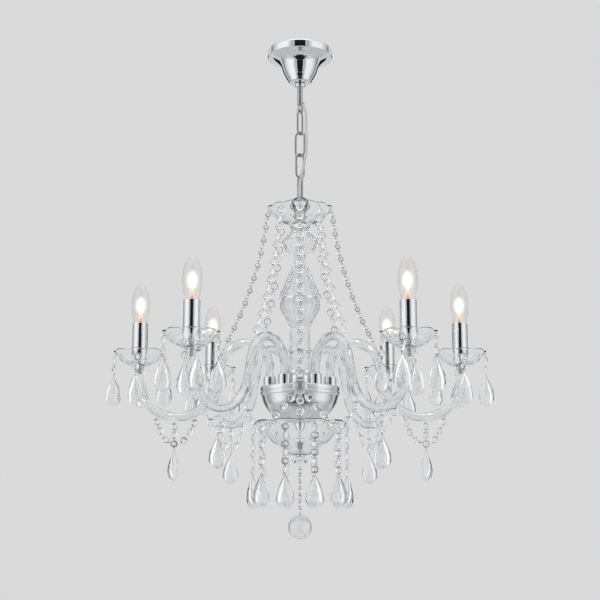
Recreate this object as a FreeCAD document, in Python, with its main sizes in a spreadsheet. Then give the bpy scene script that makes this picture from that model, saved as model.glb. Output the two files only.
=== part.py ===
"""Six-light Maria Theresa chandelier: canopy, link chain, glass column, scrolled glass arms and crystals.

Millimetres, +Z up. The ceiling plane is z = 0 and the hanging axis is x = y = 0.
"""
import FreeCAD
import Part
import Sketcher
import math
import os

V = FreeCAD.Vector
doc = FreeCAD.newDocument("chandelier")
sheet = doc.addObject("Spreadsheet::Sheet", "Sizes")

SIZES = {
    # ceiling fixing
    "strap_length": 104.0, "strap_width": 20.0, "strap_thick": 2.5, "strap_drop": 12.0, "strap_web": 44.0,
    "screw_spacing": 80.0, "screw_hole": 5.0,
    "block_length": 22.0, "block_width": 14.0, "block_height": 6.5, "block_x": 41.0,
    "canopy_radius": 65.5, "canopy_band": 14.0, "canopy_cup": 37.0, "canopy_neck": 24.0, "canopy_depth": 68.0,
    "canopy_flare": 20.0, "canopy_wall": 1.2, "collar_radius": 10.5, "collar_height": 8.0,
    # rod and chain
    "rod_od": 11.0, "rod_bore": 7.0, "rod_end": 130.0, "tab_thick": 5.0, "tab_height": 15.0,
    "outlet_rise": 11.0, "eye_hole": 5.8, "eye_margin": 4.5, "thread_od": 10.0,
    "nut_flats": 16.0, "nut_height": 6.0, "link_wire": 4.2, "link_length": 53.5, "link_width": 23.0,
    "wire_gap": 0.12, "ring_mean": 14.6, "ring_wire": 5.5, "boss_radius": 14.0, "boss_height": 9.0,
    "shank_radius": 11.0, "shank_length": 12.13, "cable_od": 5.2, "cable_offset": 8.6,
    # column of glass on the stem, each height taken from the piece above
    "stem_od": 10.0, "stem_fit": 0.3, "stem_tail": 3.0,
    "crown_radius": 64.5, "crown_height": 34.0, "crown_wall": 4.0, "crown_lobes": 12.0, "spacer_height": 10.0,
    "bell_radius": 36.5, "bell_shoulder": 25.0, "bell_height": 43.0,
    "neck_radius": 11.0, "neck_length": 36.0, "skirt_height": 57.0, "skirt_radius": 42.0, "skirt_neck": 18.5,
    "vase_gap": 6.0, "tulip_height": 51.0, "tulip_radius": 39.0, "flutes": 20.0, "glass_wall": 5.0,
    "tube_radius": 20.0, "tube_wall": 3.0, "tube_length": 86.0, "tube_ring": 45.0, "foot_height": 35.0,
    # arm hub
    "hub_circle": 58.0, "socket_od": 24.0, "socket_height": 23.0, "socket_floor": 3.0,
    "plate_thick": 3.0, "plate_radius": 70.5, "bowl_radius": 74.0, "band_radius": 76.5, "band_rise": 3.0,
    "band_height": 17.0, "bowl_depth": 70.0, "bowl_wall": 1.6,
    # glass arms
    "arm_od": 17.0, "arm_bore": 8.5, "arm_seat_gap": 0.3, "arch_radius": 46.7, "arch_rise": 41.9,
    "arm_lean": 15.0, "arm_run": 54.8, "scroll_radius": 73.7, "arm_tail": 22.6, "front_yaw": 51.0,
    # cups, candles, lamps
    "cup_radius": 50.0, "cup_height": 29.0, "cup_wall": 3.0, "cup_lobes": 8.0, "cup_foot": 17.0,
    "cup_seat": 1.7, "candle_od": 30.0, "candle_wall": 1.0, "candle_height": 82.5, "holder_radius": 11.5,
    "holder_inset": 8.0, "ferrule_radius": 9.0, "nipple_radius": 5.0, "lamp_cap": 14.0, "lamp_fit": 0.35,
    "lamp_cap_length": 23.0, "bulb_radius": 17.5, "lamp_height": 87.0, "lamp_belly": 41.0,
    # lower dish and finial
    "sleeve_length": 55.0, "dish_radius": 91.0, "dish_height": 63.0, "dish_wall": 4.0, "dish_lobes": 10.0,
    "dish_foot": 18.0, "finial_radius": 15.5, "finial_shoulder": 10.0, "finial_height": 23.0,
    # crystals
    "bead_radius": 7.3, "bead_half": 3.8, "bead_gap": 1.7, "pin_radius": 0.7, "pin_clear": 0.15,
    "fan_bead": 9.0, "rosette_radius": 14.5, "small_bead": 5.6, "hang_gap": 0.35, "pin_off": 0.6,
    "drop_flat": 0.6, "cup_drop_width": 31.0, "cup_drop_length": 60.0, "cup_string": 41.0,
    "arm_drop_width": 32.0, "arm_drop_length": 59.0, "dish_drop_width": 36.0, "dish_drop_length": 61.0,
    "dish_drops": 10.0, "dish_drop_hang": 102.0, "ball_radius": 22.5, "ball_string": 88.5, "swag_drop": 43.0,
    "swag_gap": 3.4, "front_lift": 14.0, "strand_bead": 8.2,
}
for row, (alias, number) in enumerate(SIZES.items(), start=1):
    sheet.set("A%d" % row, alias)
    sheet.set("B%d" % row, str(number))
    sheet.setAlias("B%d" % row, alias)
doc.recompute()


class Dim:
    """A driving size: its number together with the expression that reads it from the sheet."""

    def __init__(self, value, text):
        self.value = float(value)
        self.text = text

    @staticmethod
    def of(other):
        if isinstance(other, Dim):
            return other
        return Dim(other, repr(float(other)))

    def _join(self, other, sign, value):
        return Dim(value, "(%s %s %s)" % (self.text, sign, other.text))

    def __add__(self, other):
        other = Dim.of(other)
        return self._join(other, "+", self.value + other.value)

    def __sub__(self, other):
        other = Dim.of(other)
        return self._join(other, "-", self.value - other.value)

    def __mul__(self, other):
        other = Dim.of(other)
        return self._join(other, "*", self.value * other.value)

    def __truediv__(self, other):
        other = Dim.of(other)
        return self._join(other, "/", self.value / other.value)

    def __radd__(self, other):
        return Dim.of(other) + self

    def __rsub__(self, other):
        return Dim.of(other) - self

    def __rmul__(self, other):
        return Dim.of(other) * self

    def __neg__(self):
        return Dim(0.0, "0.0") - self

    def cos(self):
        return Dim(math.cos(math.radians(self.value)), "cos(%s)" % self.text)

    def sin(self):
        return Dim(math.sin(math.radians(self.value)), "sin(%s)" % self.text)


LEVELS = {}


def size(alias):
    """The sheet's size of that name, or the level worked out from the sheet's sizes."""
    if alias in LEVELS:
        return LEVELS[alias]
    return Dim(sheet.get(alias), "Sizes.%s" % alias)


def mm(alias):
    """The number of that size or level, for shapes set in code."""
    return size(alias).value


def bind(obj, prop, dim):
    """Bind one property of an object to an expression of sheet sizes."""
    dim = Dim.of(dim)
    obj.setExpression(prop, dim.text)


def origin_plane(body, role):
    """Base plane of a body, by its role."""
    return [f for f in body.Origin.OriginFeatures if f.Role == role][0]


def new_body(label):
    """Empty body under a label, free to hold more than one solid."""
    body = doc.addObject("PartDesign::Body", label)
    body.Label = label
    body.AllowCompound = True
    return body


def new_sketch(body, name, role, offset=None):
    """Sketch of a body on one of its base planes."""
    sketch = body.newObject("Sketcher::SketchObject", name)
    sketch.AttachmentSupport = [(origin_plane(body, role), "")]
    sketch.MapMode = "FlatFace"
    if offset is not None:
        bind(sketch, "AttachmentOffset.Base.z", offset)
    return sketch


def arc_between(start, end, sweep):
    """Circle arc from start to end that turns by sweep degrees, counter-clockwise when positive."""
    half = math.radians(abs(sweep)) / 2.0
    chord = end - start
    middle = (start + end) * 0.5
    radius = chord.Length / 2.0 / math.sin(half)
    side = V(-chord.y, chord.x, 0).normalize()
    reach = radius * math.cos(half)
    centre = middle + side * (reach if sweep > 0 else -reach)
    first, last = (start, end) if sweep > 0 else (end, start)
    low = math.atan2(first.y - centre.y, first.x - centre.x)
    high = math.atan2(last.y - centre.y, last.x - centre.x)
    if high < low:
        high += 2.0 * math.pi
    return Part.ArcOfCircle(Part.Circle(centre, V(0, 0, 1), radius), low, high)


def draw_path(sketch, points, closed):
    """Lines and arcs through points (x, y, sweep of the edge that leaves it), all set from the sheet."""
    places = [V(Dim.of(p[0]).value, Dim.of(p[1]).value, 0) for p in points]
    count = len(points) if closed else len(points) - 1
    starts = []
    for i in range(count):
        j = (i + 1) % len(points)
        sweep = points[i][2] if len(points[i]) > 2 else 0
        turn = Dim.of(sweep).value
        if turn:
            geo = sketch.addGeometry(arc_between(places[i], places[j], turn))
            bound = sketch.addConstraint(Sketcher.Constraint("Angle", geo, math.radians(abs(turn))))
            if isinstance(sweep, Dim):
                sketch.setExpression("Constraints[%d]" % bound, sweep.text if turn > 0 else (-sweep).text)
        else:
            geo = sketch.addGeometry(Part.LineSegment(places[i], places[j]))
        starts.append((geo, 1, 2) if turn >= 0 else (geo, 2, 1))
    for i in range(count if closed else count - 1):
        after = starts[(i + 1) % count]
        meet = (starts[i][0], starts[i][2], after[0], after[1])
        sketch.addConstraint(Sketcher.Constraint("Coincident", *meet))
    ends = [(g, a) for g, a, b in starts]
    if not closed:
        ends.append((starts[-1][0], starts[-1][2]))
    for (geo, pos), point in zip(ends, points):
        for kind, axis, coordinate in (("DistanceX", -2, point[0]), ("DistanceY", -1, point[1])):
            dim = Dim.of(coordinate)
            if abs(dim.value) < 1e-9:
                sketch.addConstraint(Sketcher.Constraint("PointOnObject", geo, pos, axis))
                continue
            row = sketch.addConstraint(Sketcher.Constraint(kind, -1, 1, geo, pos, dim.value))
            if isinstance(coordinate, Dim):
                sketch.setExpression("Constraints[%d]" % row, dim.text)


def add_circle(sketch, x, radius):
    """Circle centred on the sketch's x axis, with its place and radius set from the sheet."""
    dim = Dim.of(x)
    geo = sketch.addGeometry(Part.Circle(V(dim.value, 0, 0), V(0, 0, 1), Dim.of(radius).value))
    row = sketch.addConstraint(Sketcher.Constraint("Radius", geo, Dim.of(radius).value))
    bind(sketch, "Constraints[%d]" % row, radius)
    sketch.addConstraint(Sketcher.Constraint("PointOnObject", geo, 3, -1))
    if abs(dim.value) < 1e-9:
        sketch.addConstraint(Sketcher.Constraint("PointOnObject", geo, 3, -2))
        return
    row = sketch.addConstraint(Sketcher.Constraint("DistanceX", -1, 1, geo, 3, dim.value))
    bind(sketch, "Constraints[%d]" % row, dim)


def turned(label, level, points):
    """Body turned about Z from a closed (radius, height) outline whose zero height lies at z = -level."""
    body = new_body(label)
    sketch = new_sketch(body, label + "_outline", "XZ_Plane")
    draw_path(sketch, points, True)
    turn = body.newObject("PartDesign::Revolution", label + "_turn")
    turn.Profile = sketch
    turn.ReferenceAxis = (sketch, ["V_Axis"])
    turn.Angle = 360
    sketch.Visibility = False
    bind(body, "Placement.Base.z", -Dim.of(level))
    doc.recompute()
    return body


def scallop(body, count, circle, notch):
    """Cut a ring of round notches through the rim so that lobes stand between them."""
    sketch = new_sketch(body, body.Label + "_notch", "XY_Plane")
    add_circle(sketch, circle, notch)
    cut = body.newObject("PartDesign::Pocket", body.Label + "_cut")
    cut.Profile = sketch
    cut.Type = 1
    cut.Midplane = True
    before = body.Shape.Volume
    doc.recompute()
    ring = body.newObject("PartDesign::PolarPattern", body.Label + "_ring")
    ring.Originals = [cut]
    ring.Axis = (origin_axis(body), [""])
    ring.Angle = 360
    bind(ring, "Occurrences", count)
    body.Tip = ring
    doc.recompute()
    if body.Shape.Volume >= before - 1.0:
        raise ValueError("no notch was cut in " + body.Label)


def origin_axis(body):
    """Upright base axis of a body."""
    return [f for f in body.Origin.OriginFeatures if f.Role == "Z_Axis"][0]


def fluted(body, count, low, low_circle, low_radius, high, high_circle, high_radius):
    """Cut upright flutes round a turned body, each a taper between two circles."""
    first = new_sketch(body, body.Label + "_flute_low", "XY_Plane", low)
    add_circle(first, low_circle, low_radius)
    second = new_sketch(body, body.Label + "_flute_high", "XY_Plane", high)
    add_circle(second, high_circle, high_radius)
    before = body.Shape.Volume
    cut = body.newObject("PartDesign::SubtractiveLoft", body.Label + "_flute")
    cut.Profile = first
    cut.Sections = [second]
    cut.Ruled = True
    doc.recompute()
    ring = body.newObject("PartDesign::PolarPattern", body.Label + "_flutes")
    ring.Originals = [cut]
    ring.Axis = (origin_axis(body), [""])
    ring.Angle = 360
    bind(ring, "Occurrences", count)
    body.Tip = ring
    doc.recompute()
    if body.Shape.Volume >= before - 1.0:
        raise ValueError("no flute was cut in " + body.Label)


def faceted(label, sides, rings, bore=None, bore_top=None):
    """Cut-glass solid through regular polygons (radius, depth below the ceiling), with an optional bore."""
    loops = []
    for i, (radius, depth) in enumerate(rings):
        loop = doc.addObject("Part::RegularPolygon", "%s_ring%d" % (label, i))
        loop.Polygon = sides
        bind(loop, "Circumradius", radius)
        bind(loop, "Placement.Base.z", -Dim.of(depth))
        loops.append(loop)
    loft = doc.addObject("Part::Loft", label + "_loft")
    loft.Sections = loops
    loft.Solid = True
    loft.Ruled = True
    if bore is None:
        return loft
    hole = doc.addObject("Part::Cylinder", label + "_bore")
    bind(hole, "Radius", bore)
    bind(hole, "Height", Dim.of(rings[-1][1]) - Dim.of(bore_top) + 2.0)
    bind(hole, "Placement.Base.z", -Dim.of(rings[-1][1]) - 1.0)
    cut = doc.addObject("Part::Cut", label)
    cut.Base = loft
    cut.Tool = hole
    return cut


nodes = {}


def node(label, obj):
    """List an object of the document as one sub-part of the chandelier."""
    obj.Label = label
    nodes[label] = obj
    return obj


def group(label, shapes):
    """One sub-part holding several separate solids."""
    obj = doc.addObject("Part::Feature", label)
    obj.Shape = Part.makeCompound(shapes)
    return node(label, obj)


def at(shape, place, yaw=0.0):
    """Copy of a shape turned about Z and moved to a place."""
    copy = shape.copy()
    copy.Placement = FreeCAD.Placement(place, FreeCAD.Rotation(V(0, 0, 1), yaw)).multiply(shape.Placement)
    return copy


bore_r = (size("stem_od") + size("stem_fit")) / 2.0
seam = 0.1

# chain heights: link on link from the rod's eye down to the top ring and its boss
bend = (size("link_width") - size("link_wire")) / 2.0
straight = size("link_length") - size("link_width")
wire_span = size("link_length") - size("link_wire")
eye_floor = -size("rod_end") + size("eye_margin") - size("eye_hole") / 2.0
first_top = eye_floor + size("link_wire") / 2.0 + 0.45
link_base = first_top - wire_span + bend
pitch = wire_span - size("link_wire") - size("wire_gap")
last_wire = first_top - 3.0 * pitch - wire_span
ring_z = last_wire + (size("link_wire") + size("ring_wire")) / 2.0 + size("wire_gap") - size("ring_mean")
boss_top = ring_z - size("ring_mean") - size("ring_wire") / 2.0 + 1.2
crown_floor = boss_top - size("boss_height") - size("shank_length")

# depths below the ceiling, each from the piece that carries it
LEVELS["crown_base"] = size("crown_wall") - crown_floor
LEVELS["crown_rim"] = size("crown_base") - size("crown_height")
LEVELS["bell_top"] = size("crown_base") + size("spacer_height")
LEVELS["bell_wide"] = size("bell_top") + size("bell_shoulder")
LEVELS["bell_end"] = size("bell_top") + size("bell_height")
LEVELS["skirt_top"] = size("bell_end") + size("neck_length")
LEVELS["skirt_end"] = size("skirt_top") + size("skirt_height")
LEVELS["tulip_top"] = size("skirt_end") + size("vase_gap")
LEVELS["tulip_end"] = size("tulip_top") + size("tulip_height")
LEVELS["tube_end"] = size("tulip_end") + size("tube_length")
LEVELS["plate_top"] = size("tube_end") + size("foot_height")
LEVELS["band_top"] = size("plate_top") - size("band_rise")
LEVELS["bowl_end"] = size("band_top") + size("bowl_depth")
LEVELS["dish_base"] = size("bowl_end") + size("sleeve_length") + size("dish_wall")
LEVELS["dish_rim"] = size("dish_base") - size("dish_height")
LEVELS["stem_end"] = size("dish_base") + size("stem_tail")
LEVELS["finial_wide"] = size("dish_base") + size("finial_shoulder")
LEVELS["finial_end"] = size("dish_base") + size("finial_height")
LEVELS["dish_drop_top"] = size("dish_rim") + size("dish_drop_hang")
LEVELS["ball_top"] = size("finial_end") + size("ball_string")

# arm line in its own plane: out from the socket, up from the hub plate's top
lean = size("arm_lean")
arch = size("arch_radius")
scroll = size("scroll_radius")
seat_z = seam + size("socket_floor") + size("arm_seat_gap")
arch_z = size("arch_rise")
fall_x = arch + arch * lean.cos()
fall_z = arch_z + arch * lean.sin()
low_x = fall_x + size("arm_run") * lean.sin()
low_z = fall_z - size("arm_run") * lean.cos()
scroll_x = low_x + scroll * lean.cos()
scroll_z = low_z + scroll * lean.sin()
reach_x = scroll_x + scroll
end_z = scroll_z + size("arm_tail")
LEVELS["arch_level"] = size("plate_top") - size("arch_rise")
LEVELS["scroll_level"] = size("plate_top") - scroll_z
LEVELS["arm_end"] = size("plate_top") - end_z
LEVELS["cup_base"] = size("arm_end") - size("cup_seat")
LEVELS["cup_rim"] = size("cup_base") - size("cup_height")
LEVELS["candle_top"] = size("cup_base") - size("candle_height")
LEVELS["holder_top"] = size("candle_top") + size("holder_inset")
LEVELS["bulb_tip"] = size("holder_top") - size("lamp_height")
LEVELS["swag_low"] = size("scroll_level") + scroll + size("arm_od") / 2.0 + size("swag_drop")

# ceiling strap: a hat section with two screw holes and a hole for the rod's thread
strap = new_body("ceiling_bracket")
sketch = new_sketch(strap, "strap_side", "XZ_Plane")
half = size("strap_length") / 2.0
web = size("strap_web") / 2.0
thick = size("strap_thick")
drop = size("strap_drop")
outline = [(0.0, 0.0), (web, 0.0), (web, drop), (half, drop), (half, drop + thick),
           (web - thick, drop + thick),
           (web - thick, thick), (0.0, thick)]
draw_path(sketch, outline, True)
pad = strap.newObject("PartDesign::Pad", "strap_pad")
pad.Profile = sketch
pad.Midplane = True
bind(pad, "Length", size("strap_width"))
doc.recompute()
mirror = strap.newObject("PartDesign::Mirrored", "strap_mirror")
mirror.Originals = [pad]
mirror.MirrorPlane = (origin_plane(strap, "YZ_Plane"), [""])
strap.Tip = mirror
doc.recompute()
holes = new_sketch(strap, "strap_holes", "XY_Plane")
add_circle(holes, size("screw_spacing") / 2.0, size("screw_hole") / 2.0)
add_circle(holes, -size("screw_spacing") / 2.0, size("screw_hole") / 2.0)
add_circle(holes, 0.0, size("thread_od") / 2.0 + 0.15)
drill = strap.newObject("PartDesign::Pocket", "strap_drill")
drill.Profile = holes
drill.Type = 1
drill.Midplane = True
strap.Tip = drill
bind(strap, "Placement.Base.z", -(drop + thick))
node("ceiling_bracket", strap)

web_under = drop + thick
web_over = drop

# hanging rod: threaded top, tube, flat eye at the foot and a side outlet for the flex
rod = turned("hanging_rod", size("rod_end"), [
    (0.0, 0.0), (size("rod_od") / 2.0, 0.0), (size("rod_od") / 2.0, size("rod_end") - web_under),
    (size("thread_od") / 2.0, size("rod_end") - web_under),
    (size("thread_od") / 2.0, size("rod_end") - web_over + size("nut_height") + 1.5),
    (size("rod_bore") / 2.0, size("rod_end") - web_over + size("nut_height") + 1.5),
    (size("rod_bore") / 2.0, size("tab_height") + 6.0), (0.0, size("tab_height") + 6.0)])
sides = new_sketch(rod, "rod_flats", "XZ_Plane")
wide = size("rod_od")
tab = size("tab_thick") / 2.0
draw_path(sides, [(tab, -1.0), (wide, -1.0), (wide, size("tab_height")), (tab, size("tab_height"))], True)
flat = rod.newObject("PartDesign::Pocket", "rod_flat")
flat.Profile = sides
flat.Type = 1
flat.Midplane = True
doc.recompute()
flats = rod.newObject("PartDesign::PolarPattern", "rod_flats_pair")
flats.Originals = [flat]
flats.Axis = (origin_axis(rod), [""])
flats.Angle = 360
flats.Occurrences = 2
rod.Tip = flats
doc.recompute()
eye = new_sketch(rod, "rod_eye", "YZ_Plane")
spot = eye.addGeometry(Part.Circle(V(0, mm("eye_margin"), 0), V(0, 0, 1), mm("eye_hole") / 2.0))
eye.addConstraint(Sketcher.Constraint("PointOnObject", spot, 3, -2))
row = eye.addConstraint(Sketcher.Constraint("DistanceY", -1, 1, spot, 3, mm("eye_margin")))
bind(eye, "Constraints[%d]" % row, size("eye_margin"))
row = eye.addConstraint(Sketcher.Constraint("Radius", spot, mm("eye_hole") / 2.0))
bind(eye, "Constraints[%d]" % row, size("eye_hole") / 2.0)
drill = rod.newObject("PartDesign::Pocket", "rod_eye_drill")
drill.Profile = eye
drill.Type = 1
drill.Midplane = True
rod.Tip = drill
doc.recompute()
OUTLET_TILT = 38.0
outlet = new_sketch(rod, "rod_outlet", "XY_Plane")
outlet.AttachmentOffset = FreeCAD.Placement(V(0, 0, mm("tab_height") + mm("outlet_rise")),
                                            FreeCAD.Rotation(V(1, 0, 0), 180.0 - OUTLET_TILT))
bind(outlet, "AttachmentOffset.Base.z", size("tab_height") + size("outlet_rise"))
add_circle(outlet, 0.0, size("cable_od") / 2.0 + 0.35)
before = rod.Shape.Volume
drill = rod.newObject("PartDesign::Pocket", "rod_outlet_drill")
drill.Profile = outlet
drill.Reversed = True
drill.Length = 24.0
rod.Tip = drill
doc.recompute()
if rod.Shape.Volume >= before - 1.0:
    raise ValueError("no outlet was cut in the rod")
LINK_YAW = 60.0
rod.Placement = FreeCAD.Placement(V(0, 0, -mm("rod_end")), FreeCAD.Rotation(V(0, 0, 1), LINK_YAW))
bind(rod, "Placement.Base.z", -size("rod_end"))
node("hanging_rod", rod)

# hexagon nut on the rod's thread
nut = new_body("rod_nut")
sketch = new_sketch(nut, "nut_section", "XY_Plane")
corner = size("nut_flats") / 2.0 / Dim.of(30.0).cos()
hexagon = []
for k in range(6):
    angle = Dim.of(60.0 * k + 30.0)
    hexagon.append((corner * angle.cos(), corner * angle.sin()))
draw_path(sketch, hexagon, True)
add_circle(sketch, 0.0, size("thread_od") / 2.0 + 0.05)
pad = nut.newObject("PartDesign::Pad", "nut_pad")
pad.Profile = sketch
bind(pad, "Length", size("nut_height"))
bind(nut, "Placement.Base.z", -web_over)
node("rod_nut", nut)

# terminal block under the strap's foot, with three wire ways and their screws
block = new_body("terminal_block")
sketch = new_sketch(block, "block_section", "XY_Plane")
long_half = size("block_length") / 2.0
wide_half = size("block_width") / 2.0
draw_path(sketch, [(-long_half, -wide_half), (long_half, -wide_half), (long_half, wide_half),
                   (-long_half, wide_half)], True)
pad = block.newObject("PartDesign::Pad", "block_pad")
pad.Profile = sketch
bind(pad, "Length", size("block_height"))
doc.recompute()
ways = new_sketch(block, "block_ways", "YZ_Plane")
for k in (-1, 0, 1):
    spot = V(k * mm("block_width") / 3.4, mm("block_height") / 2.0, 0)
    way = ways.addGeometry(Part.Circle(spot, V(0, 0, 1), 1.4))
    ways.addConstraint(Sketcher.Constraint("Radius", way, 1.4))
    row = ways.addConstraint(Sketcher.Constraint("DistanceY", -1, 1, way, 3, mm("block_height") / 2.0))
    bind(ways, "Constraints[%d]" % row, size("block_height") / 2.0)
    if k == 0:
        ways.addConstraint(Sketcher.Constraint("PointOnObject", way, 3, -2))
    else:
        row = ways.addConstraint(Sketcher.Constraint("DistanceX", -1, 1, way, 3, k * mm("block_width") / 3.4))
        bind(ways, "Constraints[%d]" % row, size("block_width") * k / 3.4)
bores = block.newObject("PartDesign::Pocket", "block_bores")
bores.Profile = ways
bores.Type = 1
bores.Midplane = True
block.Tip = bores
bind(block, "Placement.Base.x", size("block_x") - 6.0)
bind(block, "Placement.Base.y", size("strap_width") / 2.0 + wide_half + 0.2)
bind(block, "Placement.Base.z", -size("block_height") - 0.5)
node("terminal_block", block)

# canopy: spun cup with a flat flange band, and its collar on the rod
wall = size("canopy_wall")
deep = size("canopy_depth")
rod_way = size("rod_od") / 2.0 + 0.4
flange = size("canopy_radius")
brim = deep - size("canopy_band")
canopy = turned("canopy", deep, [
    (rod_way, 0.0), (size("canopy_neck") - 6.0, 0.0, 75.0), (size("canopy_neck"), 5.0, 22.0),
    (size("canopy_cup"), brim - size("canopy_flare"), -52.0), (flange - 2.5, brim - 1.2),
    (flange, brim + 0.4), (flange, deep), (flange - wall, deep), (flange - wall, brim + 0.9),
    (flange - 2.5, brim, 52.0),
    (size("canopy_cup") - wall, brim - size("canopy_flare") + 0.2, -22.0),
    (size("canopy_neck") - wall, 5.2, -75.0), (size("canopy_neck") - 6.0, wall), (rod_way, wall)])
node("canopy", canopy)
collar_r = size("collar_radius")
collar_z = size("collar_height")
collar = turned("canopy_collar", deep + collar_z + 0.2, [
    (size("rod_od") / 2.0 + 0.15, 0.0), (collar_r - 2.5, 0.0, 90.0), (collar_r, 2.5),
    (collar_r, collar_z - 2.5, 90.0), (collar_r - 2.5, collar_z), (size("rod_od") / 2.0 + 0.15, collar_z)])
node("canopy_collar", collar)

# chain links: one round-wire link, seated wire on wire down to the top ring
link_form = new_body("chain_link_1")
spine = new_sketch(link_form, "link_spine", "XZ_Plane")
draw_path(spine, [(bend, 0.0), (bend, straight, 180.0), (-bend, straight), (-bend, 0.0, 180.0)], True)
section = new_sketch(link_form, "link_section", "XY_Plane")
add_circle(section, bend, size("link_wire") / 2.0)
sweep = link_form.newObject("PartDesign::AdditivePipe", "link_sweep")
sweep.Profile = section
sweep.Spine = spine
sweep.Mode = 2
doc.recompute()
link_form.Placement = FreeCAD.Placement(V(0, 0, link_base.value), FreeCAD.Rotation(V(0, 0, 1), LINK_YAW))
bind(link_form, "Placement.Base.z", link_base)
node("chain_link_1", link_form)
LOWER_YAWS = (-22.0, 36.0, 115.0)
plain_link = link_form.Shape.copy()
plain_link.Placement = FreeCAD.Placement()
lower_links = []
for k, yaw in enumerate(LOWER_YAWS, start=1):
    lower_links.append(at(plain_link, V(0, 0, link_base.value - k * pitch.value), yaw))
group("chain_links", lower_links)

# top loop: ring, boss with the flex's entry face, and a shank that takes the stem
loop_ring = doc.addObject("Part::Torus", "loop_ring")
bind(loop_ring, "Radius1", size("ring_mean"))
bind(loop_ring, "Radius2", size("ring_wire") / 2.0)
loop_ring.Placement = FreeCAD.Placement(V(0, 0, ring_z.value), FreeCAD.Rotation(V(1, 0, 0), 90))
bind(loop_ring, "Placement.Base.z", ring_z)
boss = doc.addObject("Part::Cylinder", "loop_boss")
bind(boss, "Radius", size("boss_radius"))
bind(boss, "Height", size("boss_height"))
bind(boss, "Placement.Base.z", boss_top - size("boss_height"))
shank = doc.addObject("Part::Cylinder", "loop_shank")
bind(shank, "Radius", size("shank_radius"))
bind(shank, "Height", boss_top - size("boss_height") + 1.0 - crown_floor)
bind(shank, "Placement.Base.z", crown_floor)
upper = doc.addObject("Part::Fuse", "loop_upper")
upper.Base = loop_ring
upper.Tool = boss
whole = doc.addObject("Part::Fuse", "loop_whole")
whole.Base = upper
whole.Tool = shank
seat = doc.addObject("Part::Cylinder", "loop_seat")
bind(seat, "Radius", bore_r)
bind(seat, "Height", 6.0)
bind(seat, "Placement.Base.z", crown_floor - 1.0)
loop = doc.addObject("Part::Cut", "top_loop")
loop.Base = whole
loop.Tool = seat
node("top_loop", loop)

# flex: from the rod's side outlet, past the links, to the boss's top face
outlet_z = -(mm("rod_end") - mm("tab_height") - mm("outlet_rise"))
boss_face = boss_top.value
reach = mm("cable_offset")
lead = FreeCAD.Rotation(V(0, 0, 1), LINK_YAW - 90.0).multVec(V(math.sin(math.radians(OUTLET_TILT)), 0, 0))
lead = lead + V(0, 0, -math.cos(math.radians(OUTLET_TILT)))
drop_z = (boss_face - outlet_z) / 10.0
cable_points = [
    V(0, 0, outlet_z), V(0, 0, outlet_z) + lead * 20.0, V(12.5, -10.5, outlet_z + 1.8 * drop_z),
    V(12.0, -13.5, outlet_z + 2.9 * drop_z), V(13.0, -14.5, outlet_z + 4.1 * drop_z),
    V(11.5, -15.5, outlet_z + 5.3 * drop_z), V(5.0, -16.5, outlet_z + 6.5 * drop_z),
    V(-1.5, -15.5, outlet_z + 7.7 * drop_z), V(-2.0, -reach - 3.2, outlet_z + 8.75 * drop_z),
    V(0.0, -reach, outlet_z + 9.45 * drop_z), V(0.0, -reach, boss_face + 0.05)]


def cord_route(points, share=0.45):
    """Straight runs joined by tangent arcs, with each arc's radius from its shorter run."""
    edges = []
    radii = []
    last = points[0]
    for i in range(1, len(points) - 1):
        before = (points[i - 1] - points[i])
        after = (points[i + 1] - points[i])
        reach_in = share * min(before.Length, after.Length)
        before.normalize()
        after.normalize()
        half_turn = (math.pi - before.getAngle(after)) / 2.0
        radius = reach_in / math.tan(half_turn)
        radii.append(radius)
        start = points[i] + before * reach_in
        end = points[i] + after * reach_in
        axis = (before + after)
        axis.normalize()
        centre = points[i] + axis * math.hypot(radius, reach_in)
        middle = centre - axis * radius
        if (start - last).Length > 1e-6:
            edges.append(Part.LineSegment(last, start).toShape())
        edges.append(Part.Arc(start, middle, end).toShape())
        last = end
    edges.append(Part.LineSegment(last, points[-1]).toShape())
    return Part.Wire(edges), radii


def cord_solid(points, diameter):
    """Round cord swept along its route, with the volume compared to section times length."""
    wire, radii = cord_route(points)
    start = (points[1] - points[0])
    profile = Part.Wire([Part.makeCircle(diameter / 2.0, points[0], start)])
    solid = wire.makePipeShell([profile], True, True)
    wanted = math.pi * diameter * diameter / 4.0 * wire.Length
    print("cord radii", " ".join("%.1f" % r for r in radii), "length %.1f" % wire.Length,
          "volume ratio %.4f" % (solid.Volume / wanted))
    if abs(solid.Volume / wanted - 1.0) > 0.02:
        raise ValueError("the cord's volume does not match its length")
    return solid


# stem and the metal spacers, collars and foot threaded on it
stem = turned("centre_stem", size("stem_end"), [
    (0.0, 0.0), (size("stem_od") / 2.0, 0.0), (size("stem_od") / 2.0, size("stem_end") + crown_floor + 4.5),
    (0.0, size("stem_end") + crown_floor + 4.5)])
node("centre_stem", stem)
spacer_tall = size("bell_top") - size("crown_base") - 2.0 * seam
spacer = turned("crown_spacer", size("bell_top") - seam, [
    (bore_r, 0.0), (15.0, 0.0), (19.5, spacer_tall * 0.3, 40.0), (19.5, spacer_tall * 0.7),
    (14.0, spacer_tall),
    (bore_r, spacer_tall)])
mid_tall = size("tulip_top") - size("skirt_end") - 2.0 * seam
mid_plate = turned("vase_plate", size("tulip_top") - seam, [
    (bore_r, 0.0), (size("tulip_radius") - 4.0, 0.0), (size("tulip_radius") - 4.0, mid_tall),
    (bore_r, mid_tall)])
foot_tall = size("plate_top") - size("tube_end") - 2.0 * seam
tube_r = size("tube_radius")
foot = turned("column_foot", size("plate_top") - seam, [
    (bore_r, 0.0), (tube_r, 0.0), (tube_r, foot_tall * 0.72), (tube_r + 4.0, foot_tall * 0.8),
    (tube_r + 4.0, foot_tall), (bore_r, foot_tall)])
sleeve_tall = size("dish_base") - size("dish_wall") - size("bowl_end") - 2.0 * seam
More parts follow.
